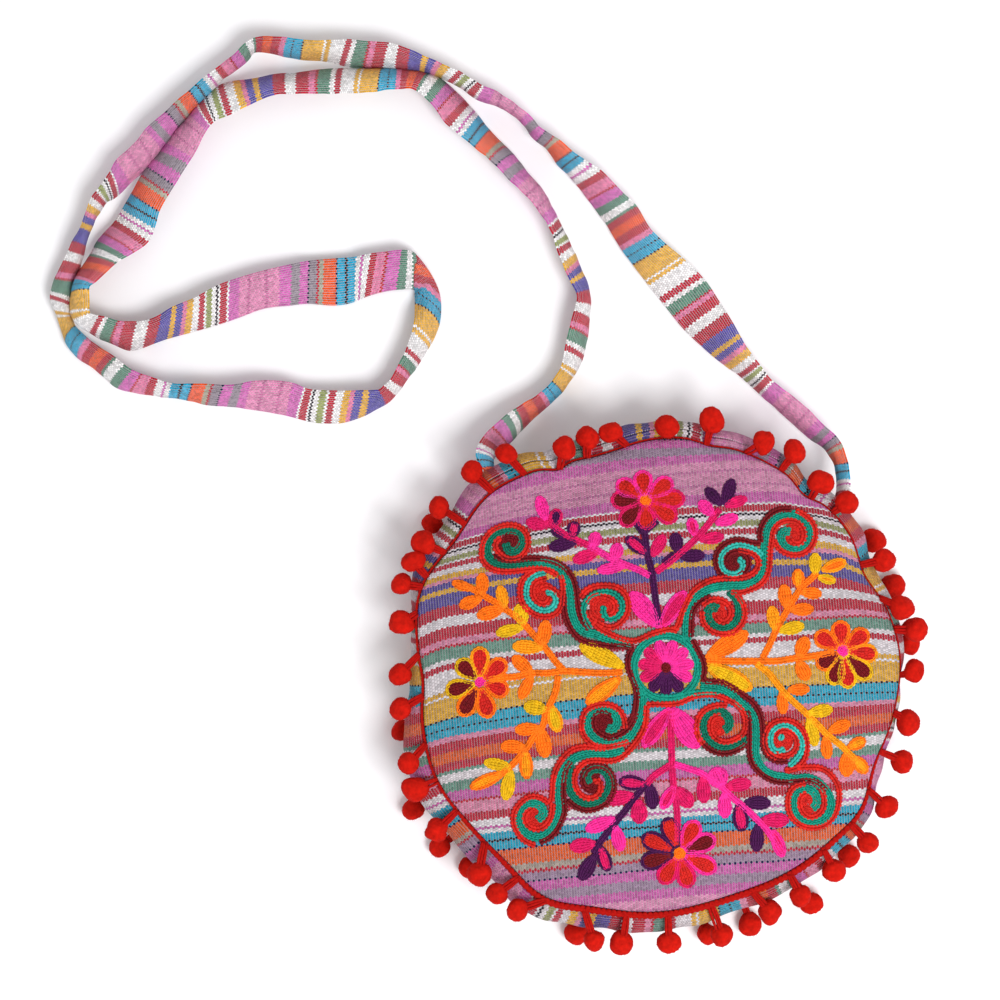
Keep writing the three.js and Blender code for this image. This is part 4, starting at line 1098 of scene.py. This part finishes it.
# Coils that fill the scrolls' hearts, sewn below them: centre, radius, yarn
SCROLL_HEARTS = [
    ((508, 544), 11, "dark_red"), ((543, 594), 12, "red"), ((604, 607), 15, "red"), ((792, 536), 12, "red"),
    ((735, 561), 11, "dark_red"), ((717, 614), 12, "red"), ((717, 726), 12, "red"), ((783, 741), 12, "red"),
    ((809, 803), 13, "red"), ((606, 723), 12, "dark_red"), ((537, 817), 12, "red"),
    ((592, 783), 12, "dark_red"),
]

# Sprigs to the left and right. Branches: yarn, places along it
ORANGE_BRANCHES = [
    ("orange", [
        (489, 679.5), (501, 677.5), (516.5, 676.5), (532, 673), (547, 673), (562.5, 671), (583, 672),
        (600, 673), (622, 672)]),
    ("orange", [
        (563.5, 670), (555, 661), (547, 650), (537, 638.5), (529, 629.5), (518, 618), (505, 609), (497, 603),
        (484, 596), (473.5, 589.5), (462, 584)]),
    ("orange", [
        (558, 676), (556, 690), (551.5, 701.5), (545.5, 713), (543.5, 724.5), (534, 736), (528.5, 745),
        (520.5, 755.5), (513.5, 763.5), (504.5, 771.5), (489.5, 780.5)]),
    ("orange", [
        (706, 659.5), (732, 661), (757.5, 661), (776.5, 661), (795.5, 658), (815, 655.5), (834, 652)]),
    ("orange", [
        (762.5, 658), (769, 645.5), (775, 632), (781.5, 620), (789, 607), (795.5, 596), (802, 586.5),
        (810.5, 579), (817, 572.5)]),
    ("gold", [
        (756, 663.5), (769, 673.5), (779, 686.5), (789.5, 698), (802, 709.5), (815, 722), (827.5, 735),
        (840.5, 745), (850.5, 755), (863.5, 767)]),
]
# Leaves: base, tip, width, yarn of the outline and, where it is another, yarn of the middle
ORANGE_LEAVES = [
    ((532, 673), (513.5, 657), 14, "orange"), ((532, 675), (520.5, 698), 12, "orange"),
    ((543, 646), (546, 621), 14, "orange"), ((543, 648), (513.5, 646), 14, "gold"),
    ((523, 625), (519.5, 605), 16, "yellow"), ((523, 627), (497, 633.5), 12, "yellow"),
    ((505, 608), (500, 586.5), 12, "gold"), ((503, 609), (478, 616), 14, "orange"),
    ((483, 594.5), (482, 574), 13, "orange"), ((481, 598), (460.5, 606), 13, "orange"),
    ((473.5, 589.5), (453, 582.5), 10, "orange"), ((547, 709.5), (525, 706), 15, "yellow"),
    ((551.5, 706), (558, 731), 15, "gold", "yellow"), ((540, 728), (516, 730), 13, "orange"),
    ((541, 728), (545.5, 756.5), 16, "orange"), ((525, 747), (502, 746), 14, "orange"),
    ((525, 749.5), (527, 778), 14, "orange", "gold"), ((511, 767), (485, 762), 12, "yellow"),
    ((511, 770), (505.5, 799), 14, "yellow"), ((504.5, 772.5), (471, 787.5), 13, "orange", "gold"),
    ((624, 667), (580.5, 645), 18, "yellow"), ((620, 678), (587, 703.5), 17, "orange", "gold"),
    ((798, 657), (806, 638), 15, "orange"), ((798, 661), (807, 679), 15, "orange"),
    ((775, 630), (771.5, 607), 13, "gold"), ((779, 631), (803, 625.5), 13, "yellow"),
    ((786.5, 608), (783.5, 585.5), 14, "orange"), ((790, 610), (812.5, 609), 13, "orange"),
    ((798.5, 587.5), (797.5, 570), 13, "orange", "gold"), ((801, 592), (820.5, 594), 12, "orange"),
    ((815, 574.5), (815, 554), 13, "yellow"), ((818, 577), (834.5, 581), 10, "yellow", "gold"),
    ((821.5, 570), (845, 561.5), 13, "gold", "orange"), ((788, 690), (808.5, 689), 12, "orange"),
    ((781.5, 691.5), (783, 713), 12, "orange"), ((808.5, 713), (831.5, 709), 13, "yellow"),
    ((808.5, 718), (815, 745), 13, "yellow"), ((829, 731), (849, 723), 13, "orange"),
    ((825, 736), (827.5, 758), 12, "orange"), ((848, 747.5), (864.5, 740), 13, "orange", "gold"),
    ((846.5, 751.5), (846.5, 775.5), 16, "orange"), ((853, 756.5), (866, 772), 14, "orange", "gold"),
    ((706, 658), (747, 632.5), 19, "orange"), ((706, 664.5), (751, 689), 20, "gold", "yellow"),
]
# Flowers: centre, its radius and yarn, petals as tip, yarn of the outline, yarn of the middle
ORANGE_FLOWERS = [
    ((480, 682.5), 6.5, "hot_pink", [
        ((480, 647.5), "gold", "red"), ((505, 661), "orange", "red"), ((507.5, 691.5), "orange", "red"),
        ((489, 717), "orange", "red"), ((461.5, 715), "orange", "dark_red"),
        ((447, 691.5), "yellow", "dark_red"), ((458.5, 661), "yellow", "dark_red")]),
    ((842, 650.5), 7, "hot_pink", [
        ((840, 621.5), "orange", "red"), ((867, 631.5), "orange", "red"), ((876.5, 654.5), "gold", "red"),
        ((869.5, 677.5), "yellow", "dark_red"), ((849, 687.5), "yellow", "red"),
        ((832.5, 684), "yellow", "dark_red"), ((817.5, 666), "orange", "dark_red"),
        ((816, 634), "orange", "red")]),
]

# Sprigs above and below, in the same columns
PINK_BRANCHES = [
    ("purple", [
        (644.5, 530), (646, 543), (648, 557), (651.5, 570), (653.5, 583), (655, 596), (657, 610),
        (659, 625)]),
    ("hot_pink", [(650, 576), (640, 570.5), (626, 565), (611, 558.5), (600, 552), (588, 545.5)]),
    ("magenta", [(588, 545.5), (578.5, 541), (567.5, 536), (556.5, 529), (546, 520.5)]),
    ("magenta", [
        (656, 572), (669, 562.5), (680.5, 553), (690.5, 544), (699, 535.5), (706.5, 526.5), (713, 518),
        (719.5, 509.5)]),
    ("purple", [(663.5, 563.5), (674, 554)]),
    ("purple", [(643, 533), (636, 523)]),
    ("purple", [(643, 533), (657, 521)]),
    ("magenta", [
        (671, 710), (671, 730.5), (671.5, 751), (672, 766.5), (673, 781.5), (675, 797), (677, 812),
        (677.5, 841)]),
    ("magenta", [(670, 765), (660, 771.5), (652, 777.5), (646.5, 784.5)]),
    ("purple", [
        (646.5, 784.5), (637.5, 794), (629.5, 805), (621, 815.5), (613, 825.5), (605, 835.5), (598, 845),
        (593.5, 853)]),
    ("hot_pink", [
        (674, 764), (687, 768), (700, 772.5), (712, 780), (722, 787.5), (733.5, 798.5), (744.5, 807),
        (754.5, 817), (764, 826.5), (771.5, 836.5), (778, 847), (782.5, 853.5)]),
]
PINK_LEAVES = [
    ((647, 554), (627, 538), 14, "purple", "magenta"), ((652, 556), (664, 536), 13, "magenta"),
    ((546, 520.5), (539, 497), 13, "hot_pink"), ((548, 526), (527, 522), 13, "magenta"),
    ((554.5, 526), (557, 510), 14, "magenta", "purple"), ((572, 537), (575, 523), 14, "purple", "magenta"),
    ((576, 542), (550, 547.5), 13, "purple"), ((563, 537), (552, 530), 8, "purple"),
    ((592.5, 546.5), (597, 533.5), 14, "hot_pink"), ((598, 552), (574, 560.5), 13, "magenta"),
    ((614, 559.5), (618.5, 544.5), 14, "hot_pink"), ((625, 566), (598, 570.5), 11, "hot_pink"),
    ((721, 505), (706.5, 489), 12, "purple"), ((724, 505), (732.5, 480), 13, "purple"),
    ((725, 506), (746, 498.5), 11, "magenta"), ((713, 515), (700, 502), 13, "hot_pink"),
    ((715.5, 523.5), (737, 517), 12, "hot_pink"), ((695, 535.5), (690.5, 519), 12, "hot_pink", "magenta"),
    ((700, 540), (723, 536.5), 12, "magenta"), ((677.5, 552.5), (675, 534), 14, "purple"),
    ((680.5, 557), (703.5, 555), 13, "purple"), ((659, 627), (631, 593), 20, "hot_pink"),
    ((660, 628), (685, 592), 17, "hot_pink", "magenta"),
    ((670, 708), (643.5, 746), 17, "hot_pink", "magenta"), ((672, 708), (698, 747), 24, "hot_pink"),
    ((674, 786), (662, 808), 13, "hot_pink", "magenta"), ((677, 788), (691, 806), 16, "magenta"),
    ((646.5, 784.5), (620, 781.5), 15, "purple", "magenta"), ((650, 784.5), (653, 808), 14, "purple"),
    ((633.5, 795), (607, 800), 15, "magenta"), ((638.5, 800), (639.5, 822.5), 17, "magenta"),
    ((615, 818.5), (586.5, 829.5), 14, "hot_pink"), ((615, 825.5), (621, 850), 14, "hot_pink"),
    ((595.5, 843), (571, 847), 15, "magenta"), ((600, 846), (608, 870), 14, "purple", "magenta"),
    ((595, 854.5), (581, 879), 15, "purple"), ((722, 787), (714, 769), 22, "hot_pink"),
    ((703, 776), (704, 802), 14, "magenta"), ((726, 786.5), (750, 783), 14, "magenta"),
    ((724, 793), (725, 817), 14, "hot_pink"), ((744.5, 802.5), (769.5, 803), 14, "purple"),
    ((738, 804), (742.5, 830), 16, "purple", "magenta"), ((761, 820), (788, 820), 15, "magenta"),
    ((757.5, 824.5), (756.5, 850.5), 14, "purple"), ((773, 830), (782.5, 856), 13, "hot_pink", "magenta"),
]
PINK_FLOWERS = [
    ((645, 500.5), 7, "orange", [
        ((642, 471.5), "hot_pink", "red"), ((671, 480), "hot_pink", "red"), ((684, 498.5), "magenta", "red"),
        ((675.5, 520), "magenta", "red"), ((647, 529), "magenta", "red"),
        ((622, 524.5), "magenta", "dark_red"), ((612, 500), "magenta", "dark_red"),
        ((618, 482), "hot_pink", "red")]),
    ((679, 853), 7.5, "orange", [
        ((666.5, 818.5), "purple", "red"), ((697, 821.5), "hot_pink", "red"),
        ((714.5, 838), "hot_pink", "dark_red"), ((715.5, 869.5), "hot_pink", "red"),
        ((689, 886.5), "magenta", "red"), ((661.5, 882.5), "magenta", "red"),
        ((642, 863), "purple", "dark_red"), ((643, 836.5), "purple", "red")]),
]
PETAL_WIDTH, PETAL_START, PETAL_PEAK = 20.0, 0.16, 1.7
LEAF_PEAK, LEAF_BLUNT, LEAF_STEPS = 1.3, 0.55, 15
DISC_START, DISC_STEPS, DISC_WIDTH, DISC_EDGE = 0.12, 60, 1.2, 0.25
HEART_SINK = 0.2

# Roundel in the middle: rings by radius, then petals by the angle where each yarn's share starts
ROUNDEL = (666, 667.5)
ROUNDEL_RINGS = [("teal", 30.3), ("teal", 33.8)]
ROUNDEL_REACH, ROUNDEL_PETALS, ROUNDEL_PETAL_WIDTH = 27.5, 11, 12.5
ROUNDEL_YARNS = [(0, "hot_pink"), (118, "magenta"), (212, "purple"), (328, "hot_pink")]
ROUNDEL_CENTRE, ROUNDEL_START, ROUNDEL_SHIFT, RING_POINTS = 8.0, 5, 0.25, 120


def on_panel(chart):
    """Places on the front panel under places in the photograph, and the panel's normals there."""
    place = np.asarray(chart, float) - PHOTO_SIDE / 2
    height = np.full(len(place), FRONT_SEAM_HEIGHT + CROWN)
    for _ in range(SURFACE_ROUNDS):
        scale = PIXEL * (1 - height / CAMERA_HEIGHT)
        x, y = CAMERA_X + place[:, 0] * scale, CAMERA_Y - place[:, 1] * scale
        height = front_height(x, y)
    step = SLOPE_STEP
    slope_x = (front_height(x + step, y) - front_height(x - step, y)) / (2 * step)
    slope_y = (front_height(x, y + step) - front_height(x, y - step)) / (2 * step)
    normal = unit(np.stack([-slope_x, -slope_y, np.ones_like(x)], axis=-1))
    return np.stack([x, y, height], axis=-1), normal


class Embroidery:
    """One piece of embroidery, sewn row by row."""

    def __init__(self, name, seed):
        self.name, self.rng = name, np.random.default_rng(seed)
        self.points, self.faces, self.dyes, self.count = [], [], [], 0

    def row(self, chart, dye, width, sink=0.0):
        """One row of chain stitch along a charted line, sunk into the cloth by a depth."""
        run = lengths(chart)
        steps = max(LEAST_STEPS, int(run[-1] / CHART_STEP))
        chart = resample(chart, np.linspace(0, run[-1], steps), run)
        path, normals = on_panel(chart)
        points, faces = chain(path - sink * normals, normals, width * PIXEL, STITCH_PITCH)
        shade = 1 + YARN_SPREAD * self.rng.normal(size=(len(points) // len(STITCH_POINTS), 1, 1))
        colour = np.ones((len(shade), len(STITCH_POINTS), 4))
        colour[..., :3] = np.array(dyed(YARNS[dye])[:3]) * np.clip(shade, DEEPEST, PALEST)
        self.points.append(points)
        self.faces.append(faces + self.count)
        self.dyes.append(colour.reshape(-1, 4))
        self.count += len(points)

    def line(self, places, dye, width, off):
        """A row along a smooth charted line, or two rows beside it."""
        chart = spline(places, LINE_SPAN)
        along = unit(np.gradient(chart, axis=0))
        side = np.stack([-along[:, 1], along[:, 0]], axis=-1)
        for shift in ((-off, off) if off else (0.0,)):
            self.row(chart + side * shift, dye, width)

    def leaf(self, base, tip, width, outline, middle, peak):
        """Rows from a leaf's base to its tip that spread to its width between."""
        base, tip = np.array(base, float), np.array(tip, float)
        way = tip - base
        side = np.array([-way[1], way[0]]) / np.linalg.norm(way)
        share = np.linspace(0, 1, LEAF_STEPS)[:, None]
        swell = np.sin(math.pi * share ** peak) ** LEAF_BLUNT
        swell[-1] = swell[0] = 0
        lanes = max(2, round(width / LANE))
        for lane in range(lanes):
            outer = lane in (0, lanes - 1)
            off = (2 * lane / (lanes - 1) - 1) * (width - LANE) / 2
            chart = base + way * share + side * off * swell
            self.row(chart if outer else chart[1:-1], outline if outer else middle, LANE * LANE_WIDTH)

    def disc(self, centre, radius, dye, sink=0.0):
        """A coiled row that fills a circle."""
        turns = radius / LANE
        share = np.linspace(DISC_START, 1, DISC_STEPS)[:, None]
        turn = 2 * math.pi * turns * share
        reach = (radius - LANE * DISC_EDGE) * share
        coil = np.array(centre) + reach * np.hstack([np.cos(turn), np.sin(turn)])
        self.row(coil, dye, LANE * DISC_WIDTH, sink)

    def flower(self, centre, radius, heart, petals):
        for tip, outline, middle in petals:
            start = np.array(centre) + PETAL_START * (np.array(tip) - centre)
            self.leaf(start, tip, PETAL_WIDTH, outline, middle, PETAL_PEAK)
        self.disc(centre, radius, heart)

    def sprigs(self, branches, leaves, flowers):
        for base, tip, width, *yarns in leaves:
            self.leaf(base, tip, width, yarns[0], yarns[-1], LEAF_PEAK)
        for dye, places in branches:
            self.line(places, dye, *BRANCH)
        for flower in flowers:
            self.flower(*flower)

    def finish(self):
        piece = add_mesh(self.name, np.vstack(self.points), np.vstack(self.faces).tolist(), YARN,
                         dye=np.vstack(self.dyes))
        return piece


def roundel(piece):
    """A ringed flower where the scrolls meet."""
    turn = np.linspace(0, 2 * math.pi, RING_POINTS)[:, None]
    circle = np.hstack([np.cos(turn), -np.sin(turn)])
    for dye, radius in ROUNDEL_RINGS:
        piece.row(np.array(ROUNDEL) + radius * circle, dye, TWIN[0])
    for petal in range(ROUNDEL_PETALS):
        angle = 360 * (petal + ROUNDEL_SHIFT) / ROUNDEL_PETALS
        dye = [yarn_name for start, yarn_name in ROUNDEL_YARNS if angle >= start][-1]
        way = np.array([math.cos(math.radians(angle)), -math.sin(math.radians(angle))])
        base, tip = (np.array(ROUNDEL) + reach * way for reach in (ROUNDEL_START, ROUNDEL_REACH))
        piece.leaf(base, tip, ROUNDEL_PETAL_WIDTH, dye, dye, PETAL_PEAK)
    piece.disc(ROUNDEL, ROUNDEL_CENTRE, "dark_red")


SCROLL_SEED, ORANGE_SEED, PINK_SEED = 61, 62, 63
scrolls = Embroidery("embroidery_scrolls", SCROLL_SEED)
for centre, radius, dye in SCROLL_HEARTS:
    scrolls.disc(centre, radius, dye, HEART_SINK)
for dye, rows, places in SCROLLS:
    scrolls.line(places, dye, *rows)
orange_sprigs = Embroidery("embroidery_orange", ORANGE_SEED)
orange_sprigs.sprigs(ORANGE_BRANCHES, ORANGE_LEAVES, ORANGE_FLOWERS)
pink_sprigs = Embroidery("embroidery_pink", PINK_SEED)
pink_sprigs.sprigs(PINK_BRANCHES, PINK_LEAVES, PINK_FLOWERS)
roundel(pink_sprigs)
embroidery = [sewn.finish() for sewn in (scrolls, orange_sprigs, pink_sprigs)]


# Pompom trim

BALL_DETAIL, BALL_SEED = 4, 900
BALL_SIZES, BALL_SQUASH = (0.92, 1.02), (0.84, 1.04)
BALL_LUMP, LUMP_WAVES = 0.14, (5, 16, 7)
BALL_GRAIN, GRAIN_WAVES, GRAIN_SEED = 0.035, (9, 2.4, 1.2), 7
HAIRS, HAIR_LENGTH, HAIR_WIDTH, HAIR_SINK = 110, 0.9, 0.09, 0.1
HAIR_SHARES, HAIR_LIE, HAIR_STAND = (0.4, 1.0), 1.6, 0.35
HAIR_FACES = np.array([(1, 0, 3), (0, 1, 2), (1, 3, 2), (3, 0, 2)])
STRANDS, STRAND_RADIUS, STRAND_SPACE, STRAND_SIDES = 3, 0.68, 1.05, 6
STEM_SEED, STEM_END, STEM_STEPS, STEM_ROOT = 500, 0.86, 9, 0.4
FAN_LEAST, FAN_SWELL, FAN_SPREAD = 0.75, 0.35, 0.16
STRAND_WAVE, STRAND_TURNS = 0.22, (0.6, 1.4)
TUCKED_SIZE, TUCKED_OUT = 0.6, 1.2
BRAID_PITCH, BRAID_WIDTH, BRAID_TUCK, BRAID_LEAN, BRAID_SINK = 2.3, 3.5, 1.2, 0.35, 0.9
CORE_SHARE, CORE_DROP, CORE_SIDES, CORE_EVERY = 0.72, 0.35, 8, 4
REST_HEIGHT = 1.1
# How much of the front braid shows past the panel's edge: angle, share
FRONT_BRAID_SHOWN = [
    (0, 0.22), (60, 0.22), (80, 0.26), (130, 0.3), (150, 0.32), (205, 0.4), (225, 0.65), (245, 1.0),
    (310, 1.0), (330, 0.55), (345, 0.22), (360, 0.22),
]
BACK_BRAID_SHOWN = [(0, 1.0), (360, 1.0)]
RING_STEPS, BAND_STEPS = 720, 41


def clear_of_band(angle, radius, height, size=1.0):
    """Whether a pompom at a place keeps off the gusset."""
    out, level = band_point(angle, np.linspace(0, math.pi, BAND_STEPS))
    return np.hypot(out - radius, level - height).min() > POMPOM_RADIUS * size + 2 * GAP


def polar(angle, radius, height):
    return np.array([radius * math.cos(angle), radius * math.sin(angle), height])


def front_pompom(row):
    """Angle of the stem's foot, centre and size of a charted front pompom."""
    degrees, reach, foot, lift = row
    angle = math.radians(degrees)
    height = FRONT_SEAM_HEIGHT - HANG_DROP - HANG_SLOPE * (reach - float(rim_radius(angle))) + lift
    while not clear_of_band(angle, reach, height):
        height += GAP
    return math.radians(foot), polar(angle, reach, height), 1.0


def back_pompom(row):
    """Angle of the stem's foot, centre and size of a back pompom, lying on the surface."""
    degrees, reach = row
    angle = math.radians(degrees)
    size = TUCKED_SIZE if reach == TUCKED else 1.0
    height = POMPOM_RADIUS * size + FLOOR_CLEARANCE
    radius = float(rim_radius(angle)) + TUCKED_OUT if reach == TUCKED else reach
    while not clear_of_band(angle, radius, height, size):
        radius += GAP
    return angle, polar(angle, radius, height), size


def filled_back_row():
    """The set rows, with tucked pompoms evenly spaced between them."""
    rows = []
    for row, after in zip(BACK_POMPOMS, BACK_POMPOMS[1:] + BACK_POMPOMS[:1]):
        gap = (after[0] - row[0]) % 360
        spaces = max(1, round(gap / POMPOM_SPACING))
        rows.append(row)
        rows += [(row[0] + gap * i / spaces, TUCKED) for i in range(1, spaces)]
    return rows


def ball_template():
    shape = bmesh.new()
    bmesh.ops.create_icosphere(shape, subdivisions=BALL_DETAIL, radius=1)
    points = np.array([vertex.co for vertex in shape.verts])
    faces = np.array([[vertex.index for vertex in face.verts] for face in shape.faces])
    shape.free()
    return points, faces


BALL_POINTS, BALL_FACES = ball_template()


def settled(points):
    """Points pressed smoothly flat where they come near the surface that the bag lies on."""
    floor_room = REST_HEIGHT - FLOOR_CLEARANCE
    pressed = FLOOR_CLEARANCE + floor_room * np.exp((points[:, 2] - REST_HEIGHT) / floor_room)
    points[:, 2] = np.where(points[:, 2] < REST_HEIGHT, pressed, points[:, 2])
    return points


def felt_ball(seed, centre, share):
    """A lumpy ball with loose fibres, a little out of round."""
    rng = np.random.default_rng(seed)
    size = POMPOM_RADIUS * share * rng.uniform(*BALL_SIZES)
    squash = rng.uniform(*BALL_SQUASH, 3)

    def surface(ways):
        x, y, z = (ways * POMPOM_RADIUS).T
        lumps = BALL_LUMP * ripple(seed, *LUMP_WAVES, x, y, z)
        grain = BALL_GRAIN * ripple(seed + GRAIN_SEED, *GRAIN_WAVES, x, y, z)
        return centre + ways * ((1 + lumps + grain) * size)[:, None] * squash

    body = surface(BALL_POINTS)
    root = unit(rng.normal(size=(HAIRS, 3)))
    flow = unit(np.cross(root, rng.normal(size=(HAIRS, 3))))
    base = surface(root) - root * HAIR_SINK
    length = HAIR_LENGTH * rng.uniform(*HAIR_SHARES, (HAIRS, 1))
    tip = base + unit(root + HAIR_LIE * flow) * length + root * HAIR_STAND * length
    side = np.cross(root, flow) * HAIR_WIDTH
    under = base - root * HAIR_WIDTH
    hairs = np.stack([base - side, base + side, under, tip], axis=1).reshape(-1, 3)
    first = len(body) + 4 * np.arange(HAIRS)[:, None, None]
    faces = np.vstack([BALL_FACES, (first + HAIR_FACES).reshape(-1, 3)])
    return settled(np.vstack([body, hairs])), faces


def stem(seed, start, centre, arch):
    """A flat bunch of yarn strands from the braid to its pompom."""
    rng = np.random.default_rng(seed)
    middle = (start + centre) / 2 + UP * arch
    t = np.linspace(0, STEM_END, STEM_STEPS)[:, None]
    line = (1 - t) ** 2 * start + 2 * t * (1 - t) * middle + t ** 2 * centre
    along = unit(np.gradient(line, axis=0))
    side = unit(np.cross(UP, along))
    over = np.cross(along, side)
    parts = []
    for strand in range(STRANDS):
        off = (strand - (STRANDS - 1) / 2) * STRAND_SPACE
        fan = off * (FAN_LEAST + FAN_SWELL * np.sin(math.pi * t)) + FAN_SPREAD * rng.normal()
        wave = STRAND_WAVE * np.sin(2 * math.pi * (t * rng.uniform(*STRAND_TURNS) + rng.uniform()))
        parts.append(tube(line + side * fan + over * wave, STRAND_RADIUS, STRAND_SIDES))
    return joined(parts)


def trim(side, pompoms, node, inset, level, arch, shown):
    """Braid, stems and pompoms of one seam, in place of their solid."""
    angle = np.linspace(0, 2 * math.pi, RING_STEPS + 1)
    share = np.interp(np.degrees(angle), *zip(*shown))
    radius = rim_radius(angle) - inset + GAP + BRAID_RADIUS * share
    height = level - BRAID_TUCK * (1 - share)
    ring = np.stack([radius * np.cos(angle), radius * np.sin(angle), height], -1)
    out = np.stack([np.cos(angle), np.sin(angle), np.zeros_like(angle)], -1)
    lean = unit(out * BRAID_LEAN + UP)
    rope = chain(ring - lean * BRAID_SINK * share[:, None], lean, BRAID_WIDTH * share, BRAID_PITCH)
    thick = BRAID_RADIUS * CORE_SHARE * share[::CORE_EVERY, None]
    core = tube(ring[::CORE_EVERY] - UP * CORE_DROP, thick, CORE_SIDES)
    braid = add_mesh(side + "_braid", *joined([rope, core]), BRAID_WOOL)
    feet = np.array([row[0] for row in pompoms]) % (2 * math.pi)
    rooted = np.interp(feet, angle, radius) - STEM_ROOT
    starts = [polar(*place) for place in zip(feet, rooted, np.interp(feet, angle, height))]
    hung, felt = [], []
    for i, (start, (_, centre, size)) in enumerate(zip(starts, pompoms)):
        hung.append(stem(STEM_SEED + i, start, centre, arch))
        felt.append(felt_ball(BALL_SEED + i, centre, size))
    stems = add_mesh(side + "_stems", *joined(hung), BRAID_WOOL)
    balls = add_mesh(side + "_pompoms", *joined(felt), POMPOM_FELT)
    for piece in (braid, stems, balls):
        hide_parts(node)


trim("front", [front_pompom(row) for row in FRONT_POMPOMS], "front_pompom_trim", 0,
     FRONT_SEAM_HEIGHT, STEM_ARCH, FRONT_BRAID_SHOWN)
trim("back", [back_pompom(row) for row in filled_back_row()], "back_pompom_trim", BACK_INSET,
     BAND_BOTTOM - GAP - BRAID_RADIUS, 0, BACK_BRAID_SHOWN)


# Surface, light and camera

FLOOR_DROP, FLOOR_SIDE = 0.2, 6.0
FLOOR_WHITE, FLOOR_ROUGH, FLOOR_SHINE = (248, 248, 250), 0.9, 0.1
KEY_PLACE, KEY_SIZE, KEY_POWER = (0.44, -0.46, 1.4), 0.6, 18.0
AIM = (-0.05, 0.06, 0.0)
SKY_STRENGTH = 0.69
WHITE = (1, 1, 1, 1)


def floor():
    material, _, shader = new_material("pale_surface", FLOOR_ROUGH, FLOOR_SHINE)
    shader.inputs["Base Color"].default_value = linear(FLOOR_WHITE)
    mesh = bpy.data.meshes.new("pale_surface")
    half = FLOOR_SIDE / 2
    low = -FLOOR_DROP * MM
    corners = [(-half, -half, low), (half, -half, low), (half, half, low), (-half, half, low)]
    mesh.from_pydata(corners, [], [(0, 1, 2, 3)])
    mesh.materials.append(material)
    surface = bpy.data.objects.new("pale_surface", mesh)
    bpy.context.scene.collection.objects.link(surface)


def area_light(name, place, aim, size, power):
    lamp = bpy.data.lights.new(name, "AREA")
    lamp.energy, lamp.size = power, size
    light = bpy.data.objects.new(name, lamp)
    light.location = place
    light.rotation_euler = (Vector(aim) - Vector(place)).to_track_quat("-Z", "Y").to_euler()
    bpy.context.scene.collection.objects.link(light)


floor()
area_light("key", KEY_PLACE, AIM, KEY_SIZE, KEY_POWER)
world = bpy.data.worlds.new("soft_sky")
world.use_nodes = True
sky = world.node_tree.nodes["Background"]
sky.inputs["Strength"].default_value = SKY_STRENGTH
sky.inputs["Color"].default_value = WHITE
bpy.context.scene.world = world
bpy.context.scene.view_settings.view_transform = "Standard"

lens = bpy.data.cameras.new("camera")
lens.sensor_width = SENSOR
lens.lens = SENSOR * CAMERA_HEIGHT / (PIXEL * PHOTO_SIDE)
camera = bpy.data.objects.new("camera", lens)
camera.location = (CAMERA_X * MM, CAMERA_Y * MM, CAMERA_HEIGHT * MM)
bpy.context.scene.collection.objects.link(camera)
bpy.context.scene.camera = camera
